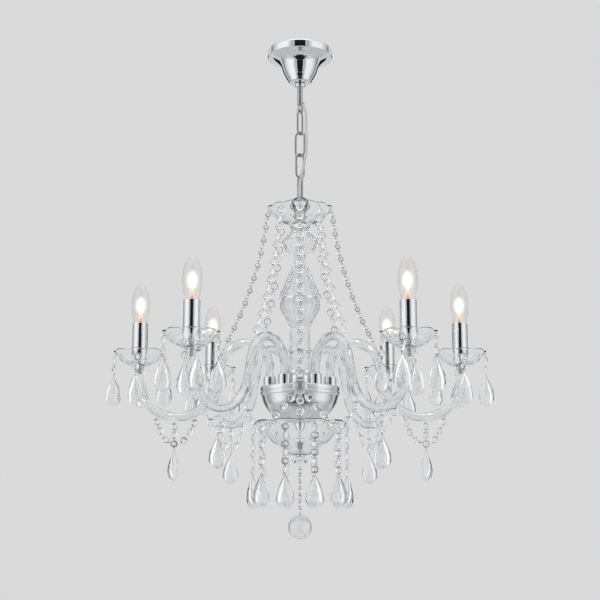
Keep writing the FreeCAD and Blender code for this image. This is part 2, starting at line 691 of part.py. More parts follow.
sleeve = turned("dish_sleeve", size("dish_base") - size("dish_wall") - seam, [
    (bore_r, 0.0), (8.0, 0.0), (8.0, sleeve_tall), (bore_r, sleeve_tall)])
band = turned("tube_band", size("tulip_end") + size("tube_ring") + 5.0, [
    (tube_r + 0.15, 0.0), (tube_r + 2.6, 0.0, 90.0), (tube_r + 2.6, 5.0), (tube_r + 0.15, 5.0)])
group("stem_collars", [b.Shape.copy() for b in (spacer, mid_plate, foot, sleeve, band)])

# glass of the column
crown_tall = size("crown_base") - size("crown_rim")
glass = size("crown_wall")
crown_r = size("crown_radius")
crown = turned("crown_dish", size("crown_base"), [
    (bore_r, 0.0), (18.0, 0.0, 30.0), (crown_r - 6.0, crown_tall * 0.74), (crown_r, crown_tall - 3.0),
    (crown_r, crown_tall), (crown_r - 9.0, crown_tall * 0.74 + glass, -30.0), (17.0, glass), (bore_r, glass)])
scallop(crown, size("crown_lobes"), size("crown_radius") + 7.5, 10.0)
node("crown_dish", crown)
node("bell_cap", faceted("bell_cap", 12, [
    (size("bell_radius") * 0.48, size("bell_top")), (size("bell_radius"), size("bell_wide")),
    (size("bell_radius") * 0.82, size("bell_end") - seam)],
    bore_r, size("bell_top") - 1.0))

skirt_tall = size("skirt_end") - size("bell_end")
neck_level = size("skirt_end") - size("skirt_top")
skirt_r = size("skirt_radius")
skin = size("glass_wall")
flare_r = size("skirt_neck")
vase_upper = turned("vase_upper", size("skirt_end"), [
    (skirt_r - skin, 0.0), (skirt_r, 0.0), (flare_r, neck_level), (size("neck_radius"), neck_level + 5.0),
    (size("neck_radius"), skirt_tall), (bore_r, skirt_tall), (bore_r, neck_level - 5.0),
    (flare_r - 7.0, neck_level - 5.0)])
fluted(vase_upper, size("flutes"), -1.0, skirt_r + 4.0, 6.2, neck_level + 3.0, flare_r + 2.1, 3.1)
node("vase_upper", vase_upper)
tulip_tall = size("tulip_end") - size("tulip_top")
tulip_r = size("tulip_radius")
vase_lower = turned("vase_lower", size("tulip_end"), [
    (bore_r, 0.0), (tube_r, 0.0), (tulip_r, tulip_tall - 16.0), (tulip_r, tulip_tall),
    (tulip_r - skin, tulip_tall),
    (tulip_r - skin, tulip_tall - 14.0), (tube_r - 7.0, 5.0), (bore_r, 5.0)])
fluted(vase_lower, size("flutes"), -1.0, tube_r + 1.6, 3.0, tulip_tall - 14.0, tulip_r + 4.2, 6.0)
node("vase_lower", vase_lower)
tube_tall = size("tube_end") - size("tulip_end") - 2.0 * seam
column = turned("column_tube", size("tube_end") - seam, [
    (tube_r - size("tube_wall"), 0.0), (tube_r, 0.0), (tube_r, tube_tall),
    (tube_r - size("tube_wall"), tube_tall)])
node("column_tube", column)

# arm hub: plate, six sockets, bowl
plate = turned("arm_plate", size("plate_top") + size("plate_thick"), [
    (bore_r, 0.0), (size("plate_radius"), 0.0), (size("plate_radius"), size("plate_thick")),
    (bore_r, size("plate_thick"))])
ways = new_sketch(plate, "plate_way", "XY_Plane")
add_circle(ways, size("hub_circle"), size("arm_bore") / 2.0)
way = plate.newObject("PartDesign::Pocket", "plate_way_cut")
way.Profile = ways
way.Type = 1
way.Midplane = True
doc.recompute()
ring = plate.newObject("PartDesign::PolarPattern", "plate_ways")
ring.Originals = [way]
ring.Axis = (origin_axis(plate), [""])
ring.Angle = 360
ring.Occurrences = 6
plate.Tip = ring
doc.recompute()
node("arm_plate", plate)
socket_r = size("socket_od") / 2.0
arm_way = size("arm_od") / 2.0 + 0.2
tall = size("socket_height")
socket = turned("arm_socket", size("plate_top") - seam, [
    (size("arm_bore") / 2.0, 0.0), (socket_r - 2.0, 0.0, 90.0), (socket_r, 2.0), (socket_r, tall - 1.5, 90.0),
    (socket_r - 1.5, tall), (arm_way, tall), (arm_way, size("socket_floor")),
    (size("arm_bore") / 2.0, size("socket_floor"))])
hub = mm("hub_circle")
hub_turns = [math.radians(60.0 * k) for k in range(6)]
hub_points = [V(hub * math.cos(turn), hub * math.sin(turn), 0) for turn in hub_turns]
group("arm_sockets", [at(socket.Shape, p) for p in hub_points])
bowl_tall = size("bowl_end") - size("band_top")
band_low = bowl_tall - size("band_height")
bowl_r = size("bowl_radius")
metal = size("bowl_wall")
ledge = size("bowl_end") - size("plate_top") - size("plate_thick") - seam
bowl = turned("bowl", size("bowl_end"), [
    (bore_r, 0.0), (12.0, 0.0, 78.0), (bowl_r, band_low), (size("band_radius"), band_low + 1.0),
    (size("band_radius"), bowl_tall - 2.0, 90.0), (size("band_radius") - 2.0, bowl_tall),
    (size("plate_radius") + 0.3, bowl_tall), (size("plate_radius") + 0.3, ledge),
    (size("plate_radius") - 3.0, ledge),
    (size("plate_radius") - 3.0, band_low, -78.0), (12.0, metal), (bore_r, metal)])
node("bowl", bowl)

# lower dish, finial
dish_tall = size("dish_base") - size("dish_rim")
dish_r = size("dish_radius")
dish_glass = size("dish_wall")
foot_r = size("dish_foot")
dish = turned("lower_dish", size("dish_base"), [
    (bore_r, 0.0), (foot_r, 0.0, 14.0), (dish_r - 8.0, dish_tall * 0.82), (dish_r, dish_tall - 4.0),
    (dish_r, dish_tall), (dish_r - 11.0, dish_tall * 0.82 + dish_glass, -14.0), (foot_r - 1.5, dish_glass),
    (bore_r, dish_glass)])
scallop(dish, size("dish_lobes"), dish_r + 11.0, 15.0)
half_lobe = FreeCAD.Rotation(V(0, 0, 1), 180.0 / mm("dish_lobes"))
dish.Placement = FreeCAD.Placement(V(0, 0, -mm("dish_base")), half_lobe)
bind(dish, "Placement.Base.z", -size("dish_base"))
node("lower_dish", dish)
node("finial", faceted("finial", 8, [
    (size("finial_radius") * 0.75, size("dish_base") + seam),
    (size("finial_radius") * 0.6, size("dish_base") + 4.0),
    (size("finial_radius"), size("finial_wide")), (size("finial_radius") * 0.62, size("finial_end") - 5.0),
    (size("finial_radius") * 0.2, size("finial_end"))]))
stub = doc.addObject("Part::Cylinder", "finial_bore")
bind(stub, "Radius", bore_r)
bind(stub, "Height", size("stem_end") - size("dish_base") + 1.3)
bind(stub, "Placement.Base.z", -size("stem_end") - 0.3)
finial = doc.addObject("Part::Cut", "finial_cut")
finial.Base = nodes["finial"]
finial.Tool = stub
nodes["finial"].Label = "finial_blank"
node("finial", finial)

# scrolled glass arms: socket, arch, leaning run, scroll and cup end, as one swept tube
arm_sweep = 180.0 - lean
turn_in = mm("front_yaw")
ARM_YAWS = (0.0, turn_in, 180.0 - turn_in, 180.0, 180.0 + turn_in, 360.0 - turn_in)
for k in range(6):
    label = "glass_arm_%d" % (k + 1)
    arm = new_body(label)
    spine = new_sketch(arm, label + "_line", "XZ_Plane")
    draw_path(spine, [(0.0, seat_z), (0.0, arch_z, -arm_sweep), (fall_x, fall_z), (low_x, low_z, arm_sweep),
                      (reach_x, scroll_z), (reach_x, end_z)], False)
    section = new_sketch(arm, label + "_tube", "XY_Plane", seat_z)
    add_circle(section, 0.0, size("arm_od") / 2.0)
    add_circle(section, 0.0, size("arm_bore") / 2.0)
    sweep = arm.newObject("PartDesign::AdditivePipe", label + "_sweep")
    sweep.Profile = section
    sweep.Spine = spine
    arm.Placement = FreeCAD.Placement(hub_points[k], FreeCAD.Rotation(V(0, 0, 1), ARM_YAWS[k]))
    bind(arm, "Placement.Base.z", -size("plate_top"))
    angle = Dim.of(60.0 * k)
    bind(arm, "Placement.Base.x", size("hub_circle") * angle.cos())
    bind(arm, "Placement.Base.y", size("hub_circle") * angle.sin())
    node(label, arm)
doc.recompute()


def arm_point(k, along, height):
    """Point in arm k's own plane: a distance out from its socket and a height z."""
    yaw = math.radians(ARM_YAWS[k])
    return hub_points[k] + V(along * math.cos(yaw), along * math.sin(yaw), height)


# cups, candle tubes, lamp holders, lamps
cup_tall = size("cup_base") - size("cup_rim")
cup_r = size("cup_radius")
cup_glass = size("cup_wall")
neck_way = size("nipple_radius") + 0.2
cup_foot = size("cup_foot")
cup = turned("drip_cup", size("cup_base"), [
    (neck_way, 0.0), (cup_foot, 0.0, 42.0), (cup_r - 4.0, cup_tall * 0.76), (cup_r, cup_tall - 3.0),
    (cup_r, cup_tall), (cup_r - 7.0, cup_tall * 0.76 + cup_glass, -42.0), (cup_foot - 1.0, cup_glass),
    (neck_way, cup_glass)])
scallop(cup, size("cup_lobes"), cup_r + 6.6, 9.0)
ends = [arm_point(k, reach_x.value, 0) for k in range(6)]
group("drip_cups", [at(cup.Shape, p, ARM_YAWS[k] + 22.5) for k, p in enumerate(ends)])
candle_tall = size("cup_base") - cup_glass - size("candle_top") - seam
candle_r = size("candle_od") / 2.0
candle = turned("candle_tube", size("cup_base") - cup_glass - seam, [
    (candle_r - size("candle_wall"), 0.0), (candle_r, 0.0), (candle_r, candle_tall),
    (candle_r - size("candle_wall"), candle_tall)])
group("candle_tubes", [at(candle.Shape, p) for p in ends])
spigot = 14.0
washer = size("cup_seat") - 2.0 * seam
body_low = spigot + washer + seam + cup_glass + seam
holder_tall = size("arm_end") + spigot - size("holder_top")
cap_way = (size("lamp_cap") + size("lamp_fit")) / 2.0
nip = size("nipple_radius")
holder = turned("lamp_holder", size("arm_end") + spigot - seam, [
    (0.0, 0.0), (size("arm_bore") / 2.0 - 0.4, 0.0), (size("arm_bore") / 2.0 - 0.4, spigot),
    (size("ferrule_radius"), spigot), (size("ferrule_radius"), spigot + washer), (nip, spigot + washer),
    (nip, body_low), (size("holder_radius"), body_low), (size("holder_radius"), holder_tall),
    (cap_way, holder_tall), (cap_way, holder_tall - size("lamp_cap_length") - 1.0),
    (0.0, holder_tall - size("lamp_cap_length") - 1.0)])
group("lamp_holders", [at(holder.Shape, p) for p in ends])
cap_r = size("lamp_cap") / 2.0
cap_tall = size("lamp_cap_length")
lamp_low = size("holder_top") + cap_tall - 2.3
tip = lamp_low - size("bulb_tip")
lamp_r = size("bulb_radius")
belly = tip - size("lamp_belly")
envelope = turned("lamp_glass", lamp_low, [
    (8.2, cap_tall), (9.0, cap_tall), (lamp_r * 0.66, cap_tall + 4.0, 17.0), (lamp_r, belly, 23.6),
    (lamp_r * 0.613, tip - 8.6, 25.8), (lamp_r * 0.375, tip - 3.0, 13.6), (lamp_r * 0.17, tip - 0.6),
    (0.0, tip), (0.0, tip - 1.5),
    (lamp_r * 0.14, tip - 2.0, -13.6), (lamp_r * 0.33, tip - 4.2, -25.8), (lamp_r * 0.555, tip - 9.4, -23.6),
    (lamp_r - 1.1, belly, -17.0), (lamp_r * 0.66 - 1.1, cap_tall + 4.4)])
cap = turned("lamp_base", lamp_low, [
    (0.0, 0.0), (3.4, 0.0), (4.2, 2.6), (cap_r, 4.2), (cap_r, cap_tall - 2.0), (cap_r + 1.2, cap_tall - 0.1),
    (3.6, cap_tall - 0.1), (3.0, cap_tall + 14.0), (0.0, cap_tall + 15.0)])
core = turned("lamp_core", lamp_low, [
    (0.0, cap_tall + 15.1), (1.6, cap_tall + 15.1), (5.2, cap_tall + 26.0), (5.2, cap_tall + 44.0),
    (1.0, cap_tall + 54.0), (0.0, cap_tall + 54.0)])
for k, place in enumerate(ends):
    group("bulb_%d" % (k + 1), [at(b.Shape, place) for b in (envelope, cap, core)])


# crystals: bevelled octagons on wire pins, pear drops and a cut ball
def solid_of(faces):
    """Closed solid from lists of corner points."""
    skins = [Part.Face(Part.makePolygon(list(f) + [f[0]])) for f in faces]
    return Part.makeSolid(Part.makeShell(skins))


def rings_solid(profile, sides, thin=1.0):
    """Cut solid through rings (radius, z), thinned along X, where a zero radius is a point."""
    loops = []
    for radius, z in profile:
        if radius == 0.0:
            loops.append([V(0, 0, z)])
            continue
        turns = [2.0 * math.pi * i / sides for i in range(sides)]
        loops.append([V(thin * radius * math.cos(turn), radius * math.sin(turn), z) for turn in turns])
    faces = []
    for low, high in zip(loops, loops[1:]):
        for i in range(sides):
            j = (i + 1) % sides
            if len(low) == 1:
                faces.append((low[0], high[j], high[i]))
            elif len(high) == 1:
                faces.append((low[i], low[j], high[0]))
            else:
                faces.append((low[i], low[j], high[j], high[i]))
    if len(loops[0]) > 1:
        faces.append(tuple(reversed(loops[0])))
    if len(loops[-1]) > 1:
        faces.append(tuple(loops[-1]))
    return solid_of(faces)


def octagon(radius, half_thick):
    """Cut octagon lying in XY with two corners on the X axis."""
    return rings_solid([(0.0, -half_thick), (radius, 0.0), (0.0, half_thick)], 8)


def pear(width, length):
    """Flat pear drop hanging down from the origin, thin along X."""
    r = width / 2.0
    rings = [(0.0, -length), (0.62 * r, -0.90 * length), (r, -0.68 * length), (0.80 * r, -0.45 * length),
             (0.16 * r, -0.04 * length), (0.08 * r, 0.0)]
    return rings_solid(rings, 8, mm("drop_flat"))


def oriented(shape, place, along, face):
    """Copy of a shape with its X axis along a direction and its Z axis nearest to a facing direction."""
    x_axis = V(along)
    x_axis.normalize()
    z_axis = face - x_axis * face.dot(x_axis)
    z_axis.normalize()
    y_axis = z_axis.cross(x_axis)
    frame = FreeCAD.Matrix(x_axis.x, y_axis.x, z_axis.x, place.x, x_axis.y, y_axis.y, z_axis.y, place.y,
                           x_axis.z, y_axis.z, z_axis.z, place.z, 0, 0, 0, 1)
    copy = shape.copy()
    copy.Placement = FreeCAD.Placement(frame)
    return copy


BEAD = octagon(mm("bead_radius"), mm("bead_half"))
SMALL = octagon(mm("small_bead"), mm("bead_half") * 0.8)
ROSETTE = octagon(mm("rosette_radius"), 5.5)
STRAND = octagon(mm("strand_bead"), mm("bead_half") * 1.1)
LARGE = octagon(mm("fan_bead"), mm("bead_half") * 1.2)
FRONT = V(0, -1, 0)
CLEAR = mm("pin_clear")


def wire_pin(start, end):
    """Square wire pin between two points, drawn back a little at both ends."""
    along = end - start
    length = along.Length - 2.0 * CLEAR
    if length < 0.4:
        return []
    along.normalize()
    pin = rings_solid([(mm("pin_radius"), 0.0), (mm("pin_radius"), length)], 4)
    pin.Placement = FreeCAD.Placement(start + along * CLEAR, FreeCAD.Rotation(V(0, 0, 1), along))
    return [pin]


def hanging(points, outward, bead=None, radius=None, gap=None, tail=0.0):
    """Beads and pins along a polyline, spaced evenly, with a bare tail of wire at its end."""
    bead = bead or BEAD
    radius = radius or mm("bead_radius")
    gap = gap or mm("bead_gap")
    runs = [(b - a).Length for a, b in zip(points, points[1:])]
    total = sum(runs)
    strung = total - tail
    count = max(1, int((strung - gap) / (2.0 * radius + gap) + 0.35))
    space = (strung - 2.0 * radius * count) / (count + 1)

    def on_line(s):
        """Point at a length along the polyline."""
        s = min(max(s, 0.0), total)
        for a, b, run in zip(points, points[1:], runs):
            if s <= run:
                return a + (b - a) * (s / run)
            s -= run
        return points[-1]

    made = []
    tip_before = points[0]
    for i in range(count):
        s = space + radius + i * (2.0 * radius + space)
        place = on_line(s)
        along = on_line(s + radius) - on_line(s - radius)
        along.normalize()
        twist = 28.0 if i % 2 else -22.0
        face = FreeCAD.Rotation(along, twist).multVec(outward - along * outward.dot(along))
        made.append(oriented(bead, place, along, face))
        made.extend(wire_pin(tip_before, place - along * radius))
        tip_before = place + along * radius
    made.extend(wire_pin(tip_before, points[-1]))
    return made


def sagging(start, end, sag, bow=V(0, 0, 0), steps=24):
    """Polyline from start to end that hangs by sag and bows by a vector at its middle."""
    line = []
    for i in range(steps + 1):
        u = i / steps
        lift = 4.0 * u * (1.0 - u)
        line.append(start + (end - start) * u + V(0, 0, -sag * lift) + bow * lift)
    return line


def polar(radius, degrees, height):
    """Point at a radius, a turn in degrees and a height."""
    return V(radius * math.cos(math.radians(degrees)), radius * math.sin(math.radians(degrees)), height)


def flat_dir(vector):
    """Level unit direction of a vector."""
    out = V(vector.x, vector.y, 0)
    out.normalize()
    return out


hang = mm("hang_gap")
pin_off = mm("pin_off")


def rim_hook(tall, lip, share, flare, inset):
    """Depth below a cup's rim of a wire hung under its lip, by the wire's distance inside the rim."""
    return lip + (tall * (1.0 - share) - lip) * (inset + mm("pin_radius")) / flare + 2.0 * hang


crown_hook = mm("crown_radius") - 2.0
crown_hook_z = -mm("crown_rim") - rim_hook(mm("crown_height"), 3.0, 0.74, 6.0, 2.0)
SHOULDER = math.radians(40.0)
shoulder_out = mm("arch_radius") + mm("arm_od") / 2.0 + pin_off
shoulder_s = mm("arch_radius") + shoulder_out * math.cos(SHOULDER)
shoulder_z = -mm("arch_level") + shoulder_out * math.sin(SHOULDER)
strands = []
for k in range(6):
    end = arm_point(k, shoulder_s, shoulder_z)
    out = flat_dir(end)
    start = polar(crown_hook, math.degrees(math.atan2(end.y, end.x)), crown_hook_z)
    line = sagging(start, end, 6.0, out * -13.0)
    if k in (0, 3):
        strands += hanging(line, out + FRONT * 2.0, SMALL, mm("small_bead"), tail=12.0)
    else:
        strands += hanging(line, out, STRAND, mm("strand_bead"), tail=12.0)
group("crown_strands", strands)

# strands down the front and back of the column, their rosettes and the fans over the bowl
rosette_z = -(mm("band_top") + 8.0)
rosette_r = mm("band_radius") + 7.0
fans = []
rim_top = -mm("dish_rim") + hang
for side in (-90.0, 90.0):
    out = polar(1.0, side, 0.0)
    centre = polar(rosette_r, side, rosette_z)
    fans.append(oriented(ROSETTE, centre, V(0, 0, -1), out))
    top = centre + V(0, 0, mm("rosette_radius"))
    fans += hanging([polar(crown_hook, side, crown_hook_z), top], out, STRAND, mm("strand_bead"))
    for turn in (-36.0, 0.0, 36.0):
        fall = polar(1.0, side - 90.0 if turn < 0 else side + 90.0, 0.0) * math.sin(math.radians(abs(turn)))
        leave = centre + (V(0, 0, -1) * math.cos(math.radians(turn)) + fall) * (mm("rosette_radius") + hang)
        rim = polar(mm("dish_radius") - 2.6, side + turn, rim_top)
        fans += hanging([leave, rim], out, LARGE, mm("fan_bead"))
group("centre_strands", fans)

# festoon under each arm, tied up at its middle bead
scroll_c = V(scroll_x.value, 0, -mm("scroll_level"))
skin_r = mm("scroll_radius") + mm("arm_od") / 2.0 + pin_off


def under_arm(k, degrees):
    """Point just off the scroll's under side, by its angle round the scroll's centre."""
    turn = math.radians(degrees)
    return arm_point(k, scroll_c.x + skin_r * math.cos(turn), scroll_c.z + skin_r * math.sin(turn))


swags = []
arm_hooks = []
tie = mm("bead_radius") + hang
for k in range(6):
    across = polar(1.0, ARM_YAWS[k] + 90.0, 0.0)
    along = polar(1.0, ARM_YAWS[k], 0.0)
    lift = mm("front_lift") if k in (4, 5) else 0.0
    low = arm_point(k, scroll_c.x + 4.0, lift - mm("swag_low"))
    swags.append(oriented(BEAD, low, V(0, 0, -1), across))
    swags += hanging([under_arm(k, -87.0), low + V(0, 0, tie)], across)
    for turn, reach in ((-60.0, 1.0), (-117.0, -1.0)):
        end = low + along * (reach * tie * 0.92) + V(0, 0, tie * 0.38)
        line = sagging(under_arm(k, turn), end, 13.0 - 0.5 * lift)
        swags += hanging(line, across, gap=mm("swag_gap"))
    arm_hooks.append(low + V(0, 0, -tie))
group("arm_swags", swags)

# festoons from the four diagonal arms to the lower dish
dish_swags = []
for k in (1, 2, 4, 5):
    start = under_arm(k, -137.0)
    out = flat_dir(start)
    end = polar(mm("dish_radius") + hang, math.degrees(math.atan2(start.y, start.x)), -mm("dish_rim") - 2.0)
    dish_swags += hanging(sagging(start, end, 26.0), FreeCAD.Rotation(V(0, 0, 1), 90).multVec(out))
group("dish_swags", dish_swags)

# drops round each cup, under the arms, and round the lower dish
cup_pear = pear(mm("cup_drop_width"), mm("cup_drop_length"))
arm_pear = pear(mm("arm_drop_width"), mm("arm_drop_length"))
dish_pear = pear(mm("dish_drop_width"), mm("dish_drop_length"))
cup_hook_z = -mm("cup_rim") - rim_hook(mm("cup_height"), 3.0, 0.76, 4.0, 1.8)
cup_turn = (0.0, 109.0, 71.0, 0.0, 109.0, 71.0)
CUP_SPIN = (-78.0, -112.0, -64.0, -98.0)
ARM_SPIN = (-48.0, -80.0, -100.0, -132.0, -102.0, -78.0)
cup_drops = []
for k, place in enumerate(ends):
    for quarter in range(4):
        degrees = 90.0 * quarter + cup_turn[k] - (90.0 if k in (1, 2, 4, 5) else 0.0)
        hook = place + polar(mm("cup_radius") - 1.8, degrees, cup_hook_z)
        out = polar(1.0, degrees, 0.0)
        foot_point = hook + V(0, 0, -mm("cup_string"))
        cup_drops += hanging([hook, foot_point], out)
        cup_drops.append(at(cup_pear, foot_point, CUP_SPIN[quarter]))
group("cup_drops", cup_drops)
for k, hook in enumerate(arm_hooks):
    foot_point = hook + V(0, 0, -3.2)
    group("arm_drop_%d" % (k + 1), wire_pin(hook, foot_point) + [at(arm_pear, foot_point, ARM_SPIN[k])])
DISH_SPIN = {0: -40.0, 5: 220.0, 6: 240.0, 9: -60.0}
dish_count = int(mm("dish_drops"))
dish_hook_z = -mm("dish_rim") - rim_hook(mm("dish_height"), 4.0, 0.82, 8.0, 2.0)
for k in range(dish_count):
    degrees = 360.0 / dish_count * k
    hook = polar(mm("dish_radius") - 2.0, degrees, dish_hook_z)
    foot_point = V(hook.x, hook.y, -mm("dish_drop_top"))
    beads = hanging([hook, foot_point], polar(1.0, degrees, 0.0))
    spin = DISH_SPIN.get(k, degrees)
    group("dish_drop_%d" % (k + 1), beads + [at(dish_pear, foot_point, spin)])

# ball on a string of small octagons under the finial
ball_r = mm("ball_radius")
rows = [(0.0, -ball_r)]
for step in range(1, 7):
    angle = math.pi * step / 7.0
    rows.append((ball_r * math.sin(angle), -ball_r * math.cos(angle)))
rows.append((0.0, ball_r))
ball = rings_solid(rows, 12)
hook = V(0, 0, -mm("finial_end") - hang)
ball_hook = V(0, 0, -mm("ball_top"))
string = hanging([hook, ball_hook], FRONT, SMALL, mm("small_bead"))
group("ball_pendant", string + [at(ball, ball_hook + V(0, 0, -ball_r - 0.1))])

group("flex_cable", [cord_solid(cable_points, mm("cable_od"))])
doc.recompute()

os.makedirs("parts", exist_ok=True)
for obj in doc.Objects:
    if "Invalid" in obj.State or "Error" in obj.State:
        raise ValueError("%s is not sound: %s" % (obj.Label, obj.State))
for label, obj in nodes.items():
    shape = obj.Shape
    if shape.isNull() or not shape.isValid() or not shape.Solids:
        raise ValueError(label + " has no valid solid")
    shape.exportStep("parts/%s.step" % label)
print("nodes", len(nodes))
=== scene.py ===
"""Six-light crystal chandelier: finished surfaces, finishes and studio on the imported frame.

Shapes are worked out in millimetres in the part's own frame and written to the meshes in metres.
"""
import logging
import math
from dataclasses import dataclass
from enum import Enum
from typing import Iterable, Optional, Sequence, Union

import bmesh
import bpy
import numpy as np
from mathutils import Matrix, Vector


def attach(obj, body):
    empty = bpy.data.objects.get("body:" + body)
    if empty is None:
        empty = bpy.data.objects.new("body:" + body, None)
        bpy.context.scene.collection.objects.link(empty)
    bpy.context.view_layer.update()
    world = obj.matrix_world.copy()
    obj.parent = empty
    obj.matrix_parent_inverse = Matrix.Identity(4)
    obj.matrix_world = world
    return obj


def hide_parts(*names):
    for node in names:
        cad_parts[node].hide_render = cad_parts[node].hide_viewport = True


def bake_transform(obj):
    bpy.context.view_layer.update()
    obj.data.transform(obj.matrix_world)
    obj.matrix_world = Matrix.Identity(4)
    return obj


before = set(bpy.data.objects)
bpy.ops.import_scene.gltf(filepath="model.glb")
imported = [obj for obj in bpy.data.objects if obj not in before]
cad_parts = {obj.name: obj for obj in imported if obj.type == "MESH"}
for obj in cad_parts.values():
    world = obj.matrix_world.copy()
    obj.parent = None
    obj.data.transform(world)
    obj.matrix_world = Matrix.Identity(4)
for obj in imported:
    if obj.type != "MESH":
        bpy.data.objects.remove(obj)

Array = np.ndarray
Corner = tuple[float, ...]
MM = 0.001
DOWN = np.array([0.0, 0.0, -1.0])
FRONT = np.array([0.0, -1.0, 0.0])
# sizes in millimetres that several sub-assemblies share
ARM_CIRCLE = 58.0
STEM_BORE = 5.15
LOWER_DISH = 91.0
BEAD = 7.3
BEAD_GAP = 1.7
# wire loops between stones: reach over each rim, half width, wire radius and points round
LOOP_REACH = 1.5
LOOP_HALF = 1.45
LOOP_WIRE = 0.42
LOOP_POINTS = 12
WIRE_SIDES = 4
# degrees by which every second stone of a string turns, and the others
TURN_ODD = 28.0
TURN_EVEN = -22.0
log = logging.getLogger("chandelier")


class Shading(Enum):
    """How a patch of surface is shaded."""

    SMOOTH = "smooth"
    CUT = "cut"


class Body(Enum):
    """Moving bodies of the chandelier."""

    CEILING = "ceiling"
    CANOPY = "canopy"
    LINK = "link"
    FITTING = "fitting"
    BALL = "ball"


# shader graph


class Value:
    """A shader number: arithmetic on it adds Math nodes to its graph."""

    def __init__(self, graph: "Graph", socket: bpy.types.NodeSocket) -> None:
        """Wrap one output socket of a graph."""
        self.graph = graph
        self.socket = socket

    def __add__(self, other: "Number") -> "Value":
        """Sum."""
        return self.graph.calculate("ADD", self, other)

    __radd__ = __add__

    def __sub__(self, other: "Number") -> "Value":
        """Difference."""
        return self.graph.calculate("SUBTRACT", self, other)

    def __mul__(self, other: "Number") -> "Value":
        """Product."""
        return self.graph.calculate("MULTIPLY", self, other)

    __rmul__ = __mul__

    def clipped(self) -> "Value":
        """The number held between 0 and 1."""
        made = self.graph.node("ShaderNodeClamp", {}, {"Value": self})
        return Value(self.graph, made.outputs[0])


Number = Union[float, Value]


class Graph:
    """Node tree of one material or world."""

    def __init__(self, tree: bpy.types.NodeTree) -> None:
        """Start from an empty tree."""
        self.tree = tree
        tree.nodes.clear()

    def node(self, kind: str, settings: dict, inputs: dict) -> bpy.types.Node:
        """Add a node.

        Args:
            kind: the node's type name.
            settings: its properties, set first; "stops" holds a ramp's (position, colour) pairs.
            inputs: socket name or number to a value, colour, socket or Value.

        Returns:
            The new node.
        """
        made = self.tree.nodes.new(kind)
        for key, setting in settings.items():
            if key == "stops":
                ramp = made.color_ramp.elements
                while len(ramp) < len(setting):
                    ramp.new(0.5)
                for element, (position, colour) in zip(ramp, setting):
                    element.position = position
                    element.color = colour
                continue
            setattr(made, key, setting)
        for key, entry in inputs.items():
            socket = made.inputs[key]
            if isinstance(entry, Value):
                entry = entry.socket
            if isinstance(entry, bpy.types.NodeSocket):
                self.tree.links.new(entry, socket)
            else:
                socket.default_value = entry
        return made

    def calculate(self, operation: str, *numbers: Union[Number, bpy.types.NodeSocket]) -> Value:
        """Math node of one operation on its inputs, in order."""
        made = self.node("ShaderNodeMath", {"operation": operation}, dict(enumerate(numbers)))
        return Value(self, made.outputs[0])

    def noise(self, place: bpy.types.NodeSocket, scale: float, detail: float) -> Value:
        """Noise number of about 0 to 1 over a place socket."""
        made = self.node("ShaderNodeTexNoise", {}, {"Vector": place, "Scale": scale, "Detail": detail})
        return Value(self, made.outputs["Fac"])

    def place(self, stretch: tuple[float, float, float] = (1.0, 1.0, 1.0)) -> bpy.types.NodeSocket:
        """Object coordinates in metres.

        Args:
            stretch: factor per axis.

        Returns:
            The coordinates.
        """
        source = self.node("ShaderNodeTexCoord", {}, {})
        if stretch == (1.0, 1.0, 1.0):
            return source.outputs["Object"]
        made = self.node("ShaderNodeMapping", {}, {"Vector": source.outputs["Object"], "Scale": stretch})
        return made.outputs["Vector"]

    def axes(self) -> bpy.types.bpy_prop_collection:
        """Object coordinates as separate numbers, by the names X, Y and Z."""
        return self.node("ShaderNodeSeparateXYZ", {}, {"Vector": self.place()}).outputs

    def blend(self, share: Value, first: Corner, second: Corner) -> bpy.types.NodeSocket:
        """Colour between two colours by the share of the second."""
        made = self.node("ShaderNodeMix", {"data_type": "RGBA"},
                         {0: share.clipped(), 6: (*first, 1.0), 7: (*second, 1.0)})
        return made.outputs[2]

    def bump(self, height: Value, depth: float, strength: float) -> bpy.types.NodeSocket:
        """Normal socket of a bump of a height number, with its depth in metres."""
        made = self.node("ShaderNodeBump", {}, {"Strength": strength, "Distance": depth, "Height": height})
        return made.outputs["Normal"]

    def output(self, kind: str, shader: bpy.types.Node) -> None:
        """Link a shader to the tree's output."""
        self.node(kind, {}, {"Surface": shader.outputs[0]})

    def surface(self, inputs: dict) -> None:
        """Link a principled surface with the given inputs to the material's output."""
        self.output("ShaderNodeOutputMaterial", self.node("ShaderNodeBsdfPrincipled", {}, inputs))


def new_material(name: str) -> tuple[bpy.types.Material, Graph]:
    """Empty material.

    Args:
        name: its name.

    Returns:
        The material and its graph.
    """
    made = bpy.data.materials.new(name)
    made.use_nodes = True
    return made, Graph(made.node_tree)


# finishes


@dataclass(frozen=True)
class Plated:
    """Polished or brushed metal plating with faint smears and fine lay lines."""

    name: str
    tint: Corner
    dull: Corner
    roughness: float
    smear: float
    lay: float

    def build(self) -> bpy.types.Material:
        """Make the material.

        Returns:
            The material.
        """
        made, g = new_material(self.name)
        cloud = g.noise(g.place(), 38.0, 3.0)
        lines = g.noise(g.place((60.0, 60.0, 900.0)), 1.0, 2.0)
        colour = g.blend(cloud * 0.8, self.tint, self.dull)
        rough = self.roughness + self.smear * cloud + self.lay * lines
        g.surface({"Base Color": colour, "Metallic": 1.0, "Roughness": rough,
                   "Normal": g.bump(cloud, 0.0004, 0.05)})
        return made


